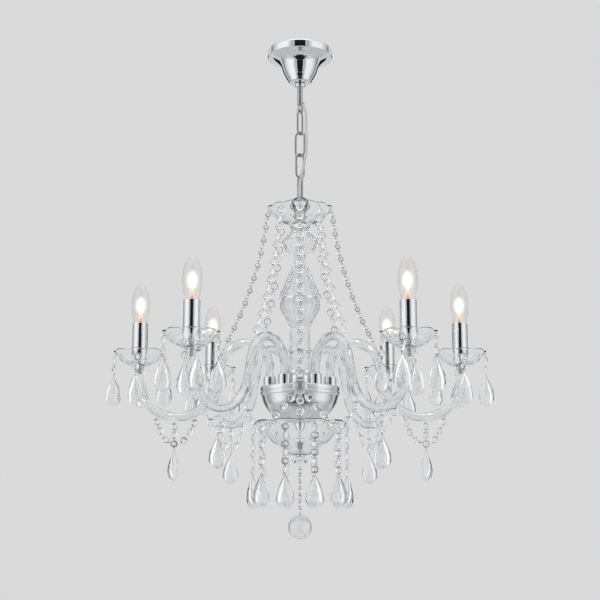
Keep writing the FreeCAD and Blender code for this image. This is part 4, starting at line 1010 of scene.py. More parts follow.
@dataclass
class Chain:
    """Round-wire links, the top ring and the flex threaded past them."""

    finishes: Finishes
    wire: float = 4.2
    bend: float = 9.4
    straight: float = 30.5
    base: float = -165.75
    pitch: float = 44.98
    yaws: tuple[float, ...] = (60.0, -22.0, 36.0, 115.0)
    ring_level: float = -319.72
    ring_mean: float = 14.6
    ring_wire: float = 5.5
    boss_top: float = -335.87
    shank_end: float = -357.0
    flex_od: float = 5.2
    flex_length: float = 0.2383
    route: tuple[Corner, ...] = (
        (0.0, 0.0, -104.0), (10.66, -6.16, -119.76), (12.5, -10.5, -145.74), (12.0, -13.5, -171.24),
        (13.0, -14.5, -199.07), (11.5, -15.5, -226.89), (5.0, -16.5, -254.72), (-1.5, -15.5, -282.54),
        (-2.0, -11.8, -306.89), (0.0, -8.6, -323.12), (0.0, -8.6, -335.82))

    def build(self) -> None:
        """Build and dress the chain."""
        self.build_flex()
        self.build_links()
        self.build_loop()

    def link_line(self, number: int) -> tuple[Array, Array]:
        """Closed line of one link: two half circles joined by straights.

        Args:
            number: the link, from 0 at the top.

        Returns:
            The line and the direction across it.
        """
        flat = polar(1.0, self.yaws[number], 0.0)
        across = polar(1.0, self.yaws[number] - 90.0, 0.0)
        low = outline([(self.bend, 0.0), (self.bend, self.straight, 180.0), (-self.bend, self.straight),
                       (-self.bend, 0.0, 180.0)], 20)
        line = low[:, :1] * flat + low[:, 1:] * -DOWN - DOWN * (self.base - number * self.pitch)
        return line, across

    def build_links(self) -> None:
        """Wire links: a round section carried round each link's line."""
        runs = ((Body.LINK, "upper_link", "chain_link_1", (0,)),
                (Body.FITTING, "lower_links", "chain_links", (1, 2, 3)))
        for body, name, node, numbers in runs:
            surface = Surface()
            for number in numbers:
                line, across = self.link_line(number)
                surface.grids(ring_tube(line, across, self.wire / 2.0, 20)[None], True, True)
            surface.dress(name, [self.finishes.shaded_chrome], "chrome", [node], body.value)

    def build_loop(self) -> None:
        """Top ring on its turned boss and shank."""
        surface = Surface()
        angle = columns(72)[0][:, None]
        ring = self.ring_mean * (np.cos(angle) * np.array([1.0, 0.0, 0.0]) - np.sin(angle) * DOWN)
        ring = ring - DOWN * self.ring_level
        surface.grids(ring_tube(ring, FRONT, self.ring_wire / 2.0, 20)[None], True, True)
        low = self.boss_top - 9.0
        surface.turned([(0.0, self.shank_end), (11.0, self.shank_end), (11.0, low - 1.5, -70.0), (12.6, low),
                        (13.2, low, 80.0), (14.0, low + 1.2), (14.0, self.boss_top - 1.2, 80.0),
                        (12.8, self.boss_top), (0.0, self.boss_top)], 5, 64, close=False)
        surface.dress("loop_and_boss", [self.finishes.shaded_chrome], "chrome", ["top_loop"])

    def flex_line(self) -> Array:
        """Smooth line along the flex's route: a quadratic spline that starts and ends on it.

        Returns:
            (n, 3) array.
        """
        curve = bpy.data.curves.new("flex_line", "CURVE")
        curve.dimensions = "3D"
        curve.resolution_u = 16
        spline = curve.splines.new("NURBS")
        spline.points.add(len(self.route) - 1)
        for point, place in zip(spline.points, self.route):
            point.co = (*[c * MM for c in place], 1.0)
        spline.order_u = 3
        spline.use_endpoint_u = True
        holder = bpy.data.objects.new("flex_line", curve)
        bpy.context.scene.collection.objects.link(holder)
        bpy.context.view_layer.update()
        drawn = bpy.data.meshes.new_from_object(holder)
        flat = np.zeros(len(drawn.vertices) * 3)
        drawn.vertices.foreach_get("co", flat)
        bpy.data.objects.remove(holder)
        bpy.data.meshes.remove(drawn)
        bpy.data.curves.remove(curve)
        return flat.reshape(-1, 3) / MM

    def build_flex(self) -> None:
        """Flex along its line, down to the fitting; it is one fixed piece, tied to no body."""
        path = self.flex_line()
        surface = Surface()
        skin = tube(path, -FRONT, self.flex_od / 2.0, 20, lobes=3, depth=0.02, twist=9.0)
        surface.grids(skin[None], False, True)
        for end, order in ((0, -1), (-1, 1)):
            fan = np.stack([skin[end], np.broadcast_to(path[end], skin[end].shape)])
            surface.grids(fan[::order][None], False, True)
        made = surface.piece("supply_flex", [self.finishes.flex])
        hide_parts("flex_cable")
        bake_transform(made)


@dataclass
class Column:
    """Stem with its collars, and the crown, bell, vases and tube of glass round it."""

    finishes: Finishes
    stem_radius: float = 5.0
    stem_top: float = -352.5
    stem_low: float = -814.0
    crown_radius: float = 64.5
    crown_level: float = -361.0
    flutes: int = 20

    def build(self) -> None:
        """Build and dress the column."""
        self.build_stem()
        self.build_crown()
        self.build_bell()
        self.build_vases()

    def build_stem(self) -> None:
        """Plated stem, spacers, foot and band as turned surfaces."""
        stem = Surface()
        stem.turned([(0.0, self.stem_low), (self.stem_radius, self.stem_low),
                     (self.stem_radius, self.stem_top), (0.0, self.stem_top)], 4, 40, close=False)
        stem.dress("stem_tube", [self.finishes.chrome], "chrome", ["centre_stem"])
        collars = Surface()
        for corners in (
            [(STEM_BORE, -370.9), (14.0, -370.9, 60.0), (18.5, -367.9, 70.0), (18.5, -364.0, 60.0),
             (14.0, -361.1), (STEM_BORE, -361.1)],
            [(STEM_BORE, -512.9), (34.0, -512.9, 90.0), (35.0, -511.9), (35.0, -508.1, 90.0), (34.0, -507.1),
             (STEM_BORE, -507.1)],
            [(STEM_BORE, -684.9), (20.0, -684.9), (20.0, -659.8, -60.0), (23.0, -657.0, 60.0), (24.0, -655.5),
             (24.0, -651.0, 90.0), (23.0, -650.1), (STEM_BORE, -650.1)],
            [(STEM_BORE, -806.9), (8.0, -806.9), (8.0, -752.1), (STEM_BORE, -752.1)],
            [(20.15, -614.0), (21.4, -614.0, 170.0), (21.4, -609.0), (20.15, -609.0)],
        ):
            collars.turned(corners, 6, 72)
        collars.dress("stem_fittings", [self.finishes.chrome], "chrome", ["stem_collars"])

    def build_crown(self) -> None:
        """Crown dish: scalloped, with twelve lobes and cuts under them."""
        surface = Surface()
        dish = Dish(self.crown_radius, height=34.0, foot=18.0, bore=STEM_BORE, wall=4.0, lip=6.0,
                    turn_up=0.74, lobes=12, notch=2.6, dip=2.2, arc=30.0, depth=1.8)
        surface.grids(dish.grid(self.crown_level, (0.0, 0.0), 0.0), True, True)
        surface.dress("crown_glass", [self.finishes.cup_glass], "clear_glass", ["crown_dish"])

    def build_bell(self) -> None:
        """Cut bell under the crown: a twelve-sided hollow blank."""
        surface = Surface()
        skin = outline([(STEM_BORE, -413.9), (29.9, -413.9), (36.5, -397.6), (36.5, -394.8), (17.5, -371.0),
                        (STEM_BORE, -371.0)], 2)
        hollow = outline([(7.2, -411.6), (28.4, -411.6), (34.2, -397.2), (34.2, -395.4), (16.0, -373.2),
                          (7.2, -373.2)], 2)
        for line in (skin, hollow[::-1]):
            surface.grids(lathe(line, 12), True, True, 0, Shading.CUT)
        surface.dress("bell_glass", [self.finishes.bell_glass], "clear_glass", ["bell_cap"])

    def build_vase(self, name: str, node: str, line: Array, depth: Array) -> None:
        """Fluted vase, its radius changed by -depth 4 t (1 - t), with t the share across one flute.

        Args:
            name: object name.
            node: node that it stands for.
            line: (n, 2) outline.
            depth: depth of the flutes by outline point.
        """
        around = self.flutes * 10
        share = np.mod(columns(around) * self.flutes / (2.0 * math.pi), 1.0)
        surface = Surface()
        widen = -depth[:, None] * 4.0 * share * (1.0 - share)
        surface.grids(lathe(line, around, 0.0, widen), True, True)
        surface.dress(name, [self.finishes.vase_glass], "clear_glass", [node], crease=50.0)

    def build_vases(self) -> None:
        """Two fluted vases mouth to mouth and the plain tube under them."""
        upper = outline([(39.6, -507.0), (42.0, -507.0), (41.2, -504.0, -5.0), (18.5, -450.0), (11.0, -445.0),
                         (11.0, -414.0), (8.6, -414.0), (8.6, -446.5), (16.0, -451.5, 5.0)], 10)
        outer = np.clip((upper[:, 0] - 17.1 - 0.415 * (-450.0 - upper[:, 1])) / 1.2, 0.0, 1.0)
        depth = 1.5 * np.clip((-450.0 - upper[:, 1]) / 6.0, 0.0, 1.0) * (0.25 + 0.75 * outer)
        self.build_vase("upper_vase", "vase_upper", upper, depth)
        lower = outline([(STEM_BORE, -564.0), (20.0, -564.0, 6.0), (38.2, -530.0, 30.0), (39.0, -526.0),
                         (39.0, -513.5), (38.5, -513.0), (36.6, -513.0), (36.6, -526.6), (35.8, -530.5, -6.0),
                         (17.8, -561.6), (STEM_BORE, -561.6)], 10)
        outer = np.clip((lower[:, 0] - 18.0 - 0.535 * (lower[:, 1] + 564.0)) / 1.2, 0.0, 1.0)
        depth = 1.4 * np.clip((-515.0 - lower[:, 1]) / 12.0, 0.0, 1.0) * (0.25 + 0.75 * outer)
        depth = depth * (lower[:, 0] > 14.0)
        self.build_vase("lower_vase", "vase_lower", lower, depth)
        surface = Surface()
        surface.turned([(17.0, -649.9), (20.0, -649.9), (20.0, -564.1), (17.0, -564.1)], 3, 72)
        surface.dress("column_glass", [self.finishes.bell_glass], "clear_glass", ["column_tube"])


@dataclass
class Dish:
    """Pressed glass dish with a lobed rim and cuts fanning out under each lobe."""

    radius: float
    height: float
    foot: float
    bore: float
    wall: float
    lip: float
    turn_up: float
    lobes: int
    notch: float
    dip: float
    arc: float
    depth: float
    cuts: int = 2
    skew: float = 0.5
    rows: int = 9

    def grid(self, level: float, centre: Corner, turn: float) -> Array:
        """Dish surface: a turned outline whose rim draws in and dips between lobes.

        With w the share up the wall, radius changes by -notch w^3 q and height by -dip w^3 q, where
        q = 1 - |sin(lobes v / 2)|; the under side is also cut by two crossing sets of wedges, depth
        4 w (1 - w) times saw(n (v + skew w)) saw(n (v - skew w)).

        Args:
            level: height of the foot.
            centre: axis in plan.
            turn: degrees to the first notch.

        Returns:
            (1, n, around, 3) grid.
        """
        around = self.lobes * 16
        tall = self.height
        shoulder = tall * self.turn_up
        rim = self.radius - self.lip
        line = outline([
            (self.bore, 0.0), (self.foot, 0.0, self.arc), (rim, shoulder), (self.radius - 0.3, tall - 2.4),
            (self.radius, tall - 1.2), (self.radius - 0.5, tall), (self.radius - 1.6, tall - 0.4),
            (rim - 0.6 * self.wall, shoulder + 0.5 * self.wall, -self.arc),
            (self.foot - 1.0, 0.7 * self.wall), (self.bore, 0.7 * self.wall)], self.rows)
        angle = columns(around)
        share = np.clip((line[:, :1] - self.foot) / (self.radius - self.foot), 0.0, 1.0)
        gap = 1.0 - np.abs(np.sin(self.lobes * angle / 2.0))
        steps = np.arange(len(line))[:, None]
        under = (steps >= self.rows) & (steps < 3 * self.rows)
        count = self.cuts * self.lobes / (2.0 * math.pi)
        lean = self.skew * share
        first = np.abs(np.mod(count * (angle + lean), 1.0) - 0.5) * 2.0
        second = np.abs(np.mod(count * (angle - lean), 1.0) - 0.5) * 2.0
        swell = np.clip(4.0 * share * (1.0 - share), 0.0, 1.0)
        wedge = np.where(under, self.depth * first * second * swell, 0.0)
        widen = -self.notch * share ** 3 * gap - wedge * 0.6
        lift = -self.dip * share ** 3 * gap + wedge
        return lathe(line, around, level, widen, lift, centre, turn)


@dataclass
class Hub:
    """Plate, sockets and bowl that carry the arms, and the lower dish and finial."""

    finishes: Finishes
    bowl_bottom: float = -752.0
    dish_level: float = -811.0

    def build(self) -> None:
        """Build and dress the hub."""
        sockets = Surface()
        corners = [(4.0, -684.9), (10.0, -684.9, 90.0), (12.0, -682.9), (12.0, -663.2, 90.0),
                   (10.8, -662.0), (8.7, -662.0), (8.7, -681.9), (4.0, -681.9)]
        for k in range(6):
            place = polar(ARM_CIRCLE, 60.0 * k, 0.0)
            sockets.turned(corners, 6, 64, spot=(place[0], place[1]))
        sockets.dress("arm_cups", [self.finishes.chrome], "chrome", ["arm_sockets"])
        plate = Surface()
        plate.turned([(STEM_BORE, -688.0), (70.5, -688.0), (70.5, -685.4), (70.1, -685.0),
                      (STEM_BORE, -685.0)], 3, 120)
        plate.dress("hub_plate", [self.finishes.chrome], "chrome", ["arm_plate"])
        bowl = Surface()
        bowl.turned([
            (STEM_BORE, 0.0), (12.0, 0.0, 78.0), (74.0, 53.0, -40.0), (74.6, 53.6, 70.0), (76.5, 55.4),
            (76.5, 58.6, 60.0), (75.4, 60.0, -90.0), (75.4, 61.4, 60.0), (76.5, 62.6), (76.5, 67.6, 90.0),
            (74.2, 70.0), (70.8, 70.0), (70.8, 63.9), (67.5, 63.9), (67.5, 53.0, -78.0), (12.0, 1.6),
            (STEM_BORE, 1.6)], 7, 144, self.bowl_bottom)
        bowl.dress("hub_bowl", [self.finishes.satin], "chrome", ["bowl"])
        dish = Surface()
        shape = Dish(LOWER_DISH, height=63.0, foot=18.0, bore=STEM_BORE, wall=4.0, lip=8.0, turn_up=0.82,
                     lobes=10, notch=3.4, dip=2.6, arc=14.0, depth=2.2)
        dish.grids(shape.grid(self.dish_level, (0.0, 0.0), 18.0), True, True)
        dish.dress("lower_glass", [self.finishes.cup_glass], "clear_glass", ["lower_dish"])
        sizes = [(3.1, -834.0), (9.6, -829.0), (15.5, -821.0), (9.3, -815.0), (11.6, -811.1)]
        tip = Surface()
        tip.copies(ringed_stone(1.0, 1.0, 8, sizes), np.eye(3)[None], np.zeros((1, 3)))
        tip.dress("cut_finial", [self.finishes.crystal], "crystal", ["finial"])


@dataclass
class Arms:
    """Scrolled glass arms and the cups, candles and lamps at their ends."""

    finishes: Finishes
    yaws: tuple[float, ...] = (0.0, 51.0, 129.0, 180.0, 231.0, 309.0)
    seat: float = -681.6
    arch: float = 46.7
    arch_level: float = -643.1
    lean: float = 15.0
    run: float = 54.8
    scroll: float = 73.7
    end: float = -642.27
    radius: float = 8.5
    bore: float = 4.25
    ribs: int = 8
    rib_depth: float = 0.045
    rib_twist: float = 1.1
    cup_level: float = -640.57
    lamp_foot: float = -586.77
    lamp_tip: float = -479.07
    lamp_wide: float = 17.5
    glow_rise: float = 64.0
    glow_wide: float = 14.5
    glow_tall: float = 22.0

    def scroll_centre(self) -> tuple[float, float]:
        """Place of the scroll's centre in an arm's plane.

        Returns:
            Distance out from the socket, and height.
        """
        tilt = math.radians(self.lean)
        turns = self.arch + self.scroll
        out = self.arch + turns * math.cos(tilt) + self.run * math.sin(tilt)
        up = self.arch_level + turns * math.sin(tilt) - self.run * math.cos(tilt)
        return out, up

    def point(self, k: int, out: float, height: float) -> Array:
        """Point in arm k's plane: a distance out from its socket and a height."""
        return polar(ARM_CIRCLE, 60.0 * k, 0.0) + polar(out, self.yaws[k], height)

    def line(self) -> Array:
        """Arm centre line: rise, arch, leaning run, scroll, rise.

        Returns:
            (n, 2) array of distance out and height.
        """
        out, up = self.scroll_centre()
        tilt = math.radians(self.lean)
        turn = np.linspace(math.pi, tilt, 40)
        bow = np.stack([self.arch + self.arch * np.cos(turn), self.arch_level + self.arch * np.sin(turn)], -1)
        turn = np.linspace(math.pi + tilt, 2.0 * math.pi, 48)
        low = np.stack([out + self.scroll * np.cos(turn), up + self.scroll * np.sin(turn)], -1)
        rise = np.stack([np.zeros(8), np.linspace(self.seat, self.arch_level, 9)[:-1]], -1)
        fall = bow[-1] + (low[0] - bow[-1]) * np.linspace(0.0, 1.0, 10)[1:-1, None]
        tail = np.stack([np.full(4, out + self.scroll), np.linspace(up, self.end, 5)[1:]], -1)
        return np.vstack([rise, bow, fall, low, tail])

    def tip(self, k: int) -> Array:
        """Plan place of arm k's cup."""
        return self.point(k, self.scroll_centre()[0] + self.scroll, 0.0)

    def build(self) -> None:
        """Build and dress arms, cups, candles and lamps."""
        self.build_arms()
        self.build_cups()
        self.build_lamps()

    def build_arms(self) -> None:
        """Ribbed, gently twisted glass tubes with a plain bore."""
        flat = self.line()
        surface = Surface()
        for k, yaw in enumerate(self.yaws):
            out = polar(1.0, yaw, 0.0)
            across = polar(1.0, yaw + 90.0, 0.0)
            path = polar(ARM_CIRCLE, 60.0 * k, 0.0) + flat[:, :1] * out - flat[:, 1:] * DOWN
            twist = -self.rib_twist if k in (1, 2, 3) else self.rib_twist
            mean = self.radius * (1.0 - self.rib_depth)
            skin = tube(path, across, mean, 40, self.ribs, self.rib_depth, twist)
            hole = tube(path, across, self.bore, 40)
            surface.grids(np.concatenate([skin, hole[::-1]])[None], True, True)
        nodes = ["glass_arm_%d" % (k + 1) for k in range(6)]
        surface.dress("scroll_arms", [self.finishes.arm_glass], "clear_glass", nodes, crease=60.0)

    def build_cups(self) -> None:
        """Lobed drip cups, plated candle tubes and lamp holders with their ferrules."""
        cups, candles, holders = Surface(), Surface(), Surface()
        shape = Dish(50.0, height=29.0, foot=17.0, bore=5.2, wall=3.0, lip=4.0, turn_up=0.76,
                     lobes=8, notch=2.8, dip=2.6, arc=42.0, depth=1.4)
        sleeve = [(14.0, -637.47), (15.0, -637.47), (15.0, -558.57, 90.0), (14.6, -558.07), (14.2, -558.07),
                  (14.0, -558.37)]
        holder = [
            (0.0, -656.1), (3.6, -656.1), (3.6, -642.1), (8.2, -642.1, 90.0), (9.0, -641.4), (9.0, -640.6),
            (5.0, -640.6), (5.0, -637.3), (11.5, -637.3), (11.5, -567.0, 90.0), (10.5, -566.0), (7.2, -566.0),
            (7.2, -590.0), (0.0, -590.0)]
        for k, yaw in enumerate(self.yaws):
            place = self.tip(k)
            spot = (place[0], place[1])
            cups.grids(shape.grid(self.cup_level, spot, yaw + 22.5), True, True)
            candles.turned(sleeve, 5, 64, 0.0, spot)
            holders.turned(holder, 5, 40, -0.07, spot, close=False)
        cups.dress("drip_glass", [self.finishes.cup_glass], "clear_glass", ["drip_cups"])
        candles.dress("candle_sleeves", [self.finishes.chrome], "chrome", ["candle_tubes"])
        holders.dress("holder_bodies", [self.finishes.plastic], "white_plastic", ["lamp_holders"])

    def build_lamps(self) -> None:
        """Candle lamps: glass, threaded cap, hot filament and its glow."""
        low = self.lamp_foot
        tip = self.lamp_tip - low
        wide = self.lamp_wide
        belly = tip - 41.0
        glass = [
            (8.4, 23.0), (9.0, 23.0), (wide * 0.66, 27.0, 17.0), (wide, belly, 23.6),
            (wide * 0.613, tip - 8.6, 25.8), (wide * 0.375, tip - 3.0, 13.6), (wide * 0.17, tip - 0.6),
            (0.0, tip), (0.0, tip - 1.1), (wide * 0.15, tip - 1.5, -13.6), (wide * 0.34, tip - 3.7, -25.8),
            (wide * 0.575, tip - 9.1, -23.6), (wide - 0.7, belly, -17.0), (wide * 0.66 - 0.7, 27.3)]
        cap = outline([(0.0, 0.0), (3.4, 0.0), (4.2, 2.6), (6.4, 4.2), (6.4, 20.0), (8.0, 22.9), (3.6, 22.9),
                       (2.9, 37.0), (0.0, 38.0)], 8, False)
        thread = np.where((cap[:, :1] > 6.2) & (cap[:, 1:] > 5.0) & (cap[:, 1:] < 19.5), 0.5, 0.0)
        helix = columns(40) - cap[:, 1:] * (2.0 * math.pi / 2.9)
        source = [(0.0, 51.0), (1.4, 53.0, 20.0), (2.6, 60.0, 40.0), (2.0, 67.0, 50.0), (0.0, 71.0)]
        for k in range(6):
            spot = (self.tip(k)[0], self.tip(k)[1])
            body = "lamp_%d" % (k + 1)
            bulb = "bulb_%d" % (k + 1)
            bright = Surface()
            bright.grids(lathe(cap, 40, low, thread * np.cos(helix), None, spot), False, True, 0)
            self.add_filament(bright, spot, low)
            bright.turned(source, 6, 24, low, spot, 2, False)
            bright.dress("lamp_inside_%d" % (k + 1),
                         [self.finishes.chrome, self.finishes.filament, self.finishes.source],
                         "chrome", [bulb], body)
            skin = Surface()
            skin.turned(glass, 9, 56, low, spot)
            skin.dress("lamp_glass_%d" % (k + 1), [self.finishes.lamp_glass], "lamp_glass", [bulb], body,
                       60.0)
            leaves = self.glow_leaves(spot, low + self.glow_rise)
            made = leaves.dress("lamp_glow_%d" % (k + 1), [self.finishes.halo], "lamp_glass", [bulb], body)
            self.fade_leaves(made, spot, low + self.glow_rise)

    def glow_leaves(self, spot: Corner, level: float) -> Surface:
        """Three upright leaves through a lamp's axis: point = axis + x across + z up.

        Args:
            spot: the axis in plan.
            level: height of the leaves' middle.

        Returns:
            The leaves.
        """
        leaves = Surface()
        x = np.linspace(-self.glow_wide, self.glow_wide, 23)[None, :, None]
        z = np.linspace(-self.glow_tall, self.glow_tall, 25)[:, None, None]
        for turn in (30.0, 90.0, 150.0):
            centre = np.array([spot[0], spot[1], level])
            leaves.grids((centre + x * polar(1.0, turn, 0.0) - z * DOWN)[None], False, False)
        return leaves

    def fade_leaves(self, made: bpy.types.Object, spot: Corner, level: float) -> None:
        """Write the leaves' share of light: (1 - q)^2, with q = (r / wide)^2 + (z / tall)^2 held under one.

        Args:
            made: the leaves.
            spot: the axis in plan.
            level: height of the leaves' middle.
        """
        flat = np.zeros(len(made.data.vertices) * 3)
        made.data.vertices.foreach_get("co", flat)
        place = flat.reshape(-1, 3) / MM - np.array([spot[0], spot[1], level])
        across = (place[:, 0] ** 2 + place[:, 1] ** 2) / self.glow_wide ** 2
        q = np.clip(across + place[:, 2] ** 2 / self.glow_tall ** 2, 0.0, 1.0)
        made.data.attributes.new("veil", "FLOAT", "POINT").data.foreach_set("value", (1.0 - q) ** 2)

    def add_filament(self, surface: Surface, spot: Corner, low: float) -> None:
        """Coiled filament on two lead wires: a small helix bent into an arch above the cap's stem.

        Args:
            surface: where they go.
            spot: the lamp's axis in plan.
            low: height of the lamp's foot.
        """
        foot = np.array([spot[0], spot[1], low + 35.0])
        half, tall, coil = 2.9, 12.0, 0.75
        t = np.linspace(0.0, math.pi, 120)
        spin = t * 26.0
        path = foot + np.stack([(half + coil * np.cos(spin)) * np.cos(t), coil * np.sin(spin),
                                (tall + coil * np.cos(spin)) * np.sin(t)], axis=-1)
        surface.grids(tube(path, np.array([0.31, 0.94, 0.13]), 0.42, 6)[None], False, True, 1)
        for side in (-1.0, 1.0):
            lead = foot + np.array([[side * 1.2, 0.0, -5.0], [side * 2.2, 0.0, -2.5],
                                    [side * half, 0.0, 0.0]])
            surface.grids(tube(lead, -FRONT, 0.3, 6)[None], False, True, 0)


@dataclass
class Dressing:
    """Octagon strands, festoons, rosettes, pear drops and the ball."""

    finishes: Finishes
    arms: Arms
    tie: float = 7.65
    small_bead: float = 5.6
    strand_bead: float = 8.2
    fan_bead: float = 9.0
    rosette_radius: float = 14.5
    rosette_out: float = 83.5
    rosette_level: float = -690.0
    fan_level: float = -747.65
    swag_level: float = -790.07
    dish_swag_level: float = -750.0
    shoulder: float = 40.0
    shoulder_tail: float = 12.0
    crown_hook: float = 62.5
    crown_hook_level: float = -333.33
    dish_hook_level: float = -755.18
    dish_foot_level: float = -850.0
    cup_hook: float = 48.2
    cup_hook_level: float = -617.745
    ball_radius: float = 22.5
    ball_level: float = -945.1
    pin_off: float = 0.6
    cup_turn: tuple[float, ...] = (0.0, 109.0, 71.0, 0.0, 109.0, 71.0)
    cup_spin: tuple[float, ...] = (-78.0, -112.0, -64.0, -98.0)
    arm_spin: tuple[float, ...] = (-48.0, -80.0, -100.0, -132.0, -102.0, -78.0)
    dish_spin: tuple[float, ...] = (-40.0, 36.0, 72.0, 108.0, 144.0, 220.0, 240.0, 252.0, 288.0, -60.0)
    front_lift: float = 14.0

    def __post_init__(self) -> None:
        """Cut the stones."""
        self.octagon = octagon_stone(BEAD, 3.8)
        self.small = octagon_stone(self.small_bead, 3.0)
        self.strand = octagon_stone(self.strand_bead, 4.1)
        self.large = octagon_stone(self.fan_bead, 4.5)
        self.rosette = rosette_stone(self.rosette_radius, 5.5)

    def build(self) -> None:
        """Build and dress every strand and drop."""
        self.build_crown_strands()
        self.build_centre_strands()
        self.build_arm_swags()
        self.build_dish_swags()
        self.build_cup_drops()
        self.build_arm_drops()
        self.build_dish_drops()
        self.build_ball()

    def lay(self, surface: Surface, beads: Beads, stone: Optional[Cut] = None) -> None:
        """Put beads and their wire loops on a surface.

        Args:
            surface: where they go.
            beads: the string.
            stone: its stone, or none for the common octagon.
        """
        surface.copies(stone or self.octagon, beads.frames(), beads.places, 0)
        facing = np.vstack([beads.facing, beads.facing[-1:]])
        wire_loops(surface, beads.starts, beads.ends, facing, 1)

    def single(self, surface: Surface, stone: Cut, place: Array, along: Array, out: Array) -> None:
        """Put one stone.

        Args:
            surface: where it goes.
            stone: the stone.
            place: its middle.
            along: direction of its X axis.
            out: direction that it faces.
        """
        facing = unit(out - along * float(out @ along))
        frame_of = np.stack([along, np.cross(facing, along), facing], axis=-1)
        surface.copies(stone, frame_of[None], place[None], 0)

    def drop(self, surface: Surface, stone: Cut, place: Array, yaw: float) -> None:
        """Hang a pear from a point, turned in plan."""
        spin = np.stack([polar(1.0, yaw, 0.0), polar(1.0, yaw + 90.0, 0.0), -DOWN], axis=-1)
        surface.copies(stone, spin[None], place[None], 0)

    def close(self, surface: Surface, name: str, node: str, body: str = Body.FITTING.value) -> None:
        """Write a string's piece."""
        surface.dress(name, [self.finishes.crystal, self.finishes.wire], "crystal", [node], body)

    def under_arm(self, k: int, degrees: float) -> Array:
        """Point just off the scroll's under side.

        Args:
            k: number of the arm, from 0.
            degrees: angle round the scroll's centre.

        Returns:
            (3,) array.
        """
        out, up = self.arms.scroll_centre()
        reach = self.arms.scroll + self.arms.radius + self.pin_off
        turn = math.radians(degrees)
        return self.arms.point(k, out + reach * math.cos(turn), up + reach * math.sin(turn))

    def build_crown_strands(self) -> None:
        """Strands from the crown to the arms' shoulders."""
        surface = Surface()
        reach = self.arms.arch + self.arms.radius + self.pin_off
        turn = math.radians(self.shoulder)
        for k in range(6):
            end = self.arms.point(k, self.arms.arch + reach * math.cos(turn),
                                  self.arms.arch_level + reach * math.sin(turn))
            out = unit(end * np.array([1.0, 1.0, 0.0]))
            start = polar(self.crown_hook, math.degrees(math.atan2(end[1], end[0])), self.crown_hook_level)
            line = sagging(start, end, 6.0, out * -13.0)
            if k in (0, 3):
                beads = hanging(line, out + FRONT * 6.0, self.small_bead, tail=self.shoulder_tail, swing=0.35)
                self.lay(surface, beads, self.small)
            else:
                self.lay(surface, hanging(line, out, self.strand_bead, tail=self.shoulder_tail), self.strand)
        self.close(surface, "shoulder_strands", "crown_strands")

    def build_centre_strands(self) -> None:
        """Strands down the front and back, their rosettes, and fans over the bowl."""
        surface = Surface()
        for side in (-90.0, 90.0):
            out = polar(1.0, side, 0.0)
            centre = polar(self.rosette_out, side, self.rosette_level)
            self.single(surface, self.rosette, centre, DOWN, out)
            top = centre - DOWN * self.rosette_radius
            line = np.stack([polar(self.crown_hook, side, self.crown_hook_level), top])
            self.lay(surface, hanging(line, out, self.strand_bead), self.strand)
            for turn in (-36.0, 0.0, 36.0):
                lean = math.radians(abs(turn))
                fall = polar(1.0, side - 90.0 if turn < 0 else side + 90.0, 0.0) * math.sin(lean)
                leave = centre + (DOWN * math.cos(lean) + fall) * (self.rosette_radius + 0.35)
                end = polar(LOWER_DISH - 2.6, side + turn, self.fan_level)
                self.lay(surface, hanging(np.stack([leave, end]), out, self.fan_bead), self.large)
        self.close(surface, "column_strands", "centre_strands")

    def swag_low(self, k: int) -> Array:
        """Middle bead of arm k's festoon."""
        return self.arms.point(k, self.arms.scroll_centre()[0] + 4.0, self.swag_level + self.lift(k))

    def lift(self, k: int) -> float:
        """How much higher the two front festoons hang."""
        return self.front_lift if k in (4, 5) else 0.0

    def build_arm_swags(self) -> None:
        """Festoon under each arm, tied up at its middle bead."""
        surface = Surface()
        for k in range(6):
            across = polar(1.0, self.arms.yaws[k] + 90.0, 0.0)
            along = polar(1.0, self.arms.yaws[k], 0.0)
            low = self.swag_low(k)
            self.single(surface, self.octagon, low, DOWN, across)
            self.lay(surface, hanging(np.stack([self.under_arm(k, -87.0), low - DOWN * self.tie]), across))
            for turn, reach in ((-60.0, 1.0), (-117.0, -1.0)):
                end = low + along * (reach * self.tie * 0.92) - DOWN * self.tie * 0.38
                line = sagging(self.under_arm(k, turn), end, 13.0 - 0.5 * self.lift(k))
                self.lay(surface, hanging(line, across, gap=3.4))
        self.close(surface, "arm_festoons", "arm_swags")

    def build_dish_swags(self) -> None:
        """Festoons from the four diagonal arms to the lower dish."""
        surface = Surface()
        for k in (1, 2, 4, 5):
            start = self.under_arm(k, -137.0)
            bearing = math.degrees(math.atan2(start[1], start[0]))
            end = polar(LOWER_DISH + 0.35, bearing, self.dish_swag_level)
            self.lay(surface, hanging(sagging(start, end, 26.0), polar(1.0, bearing + 90.0, 0.0)))
        self.close(surface, "dish_festoons", "dish_swags")

    def build_cup_drops(self) -> None:
        """Bead and pear at four points of each cup's rim."""
        surface = Surface()
        stone = pear_stone(31.0, 60.0, 17.0)
        for k in range(6):
            place = self.arms.tip(k)
            for quarter in range(4):
                degrees = 90.0 * quarter + self.cup_turn[k] - (90.0 if k in (1, 2, 4, 5) else 0.0)
                hook = place + polar(self.cup_hook, degrees, self.cup_hook_level)
                foot = hook + DOWN * 41.0
                self.lay(surface, hanging(np.stack([hook, foot]), polar(1.0, degrees, 0.0)))
                self.drop(surface, stone, foot, self.cup_spin[quarter])
        self.close(surface, "cup_pendants", "cup_drops")

    def build_arm_drops(self) -> None:
        """Pear under each arm's festoon."""
        stone = pear_stone(32.0, 59.0, 17.0)
        for k in range(6):
            surface = Surface()
            hook = self.swag_low(k) + DOWN * self.tie
            foot = hook + DOWN * 3.2
            wire_loops(surface, hook[None], foot[None], polar(1.0, self.arms.yaws[k], 0.0)[None], 1)
            self.drop(surface, stone, foot, self.arm_spin[k])
            names = [name % (k + 1) for name in ("arm_pear_%d", "arm_drop_%d", "arm_pendant_%d")]
            self.close(surface, *names)

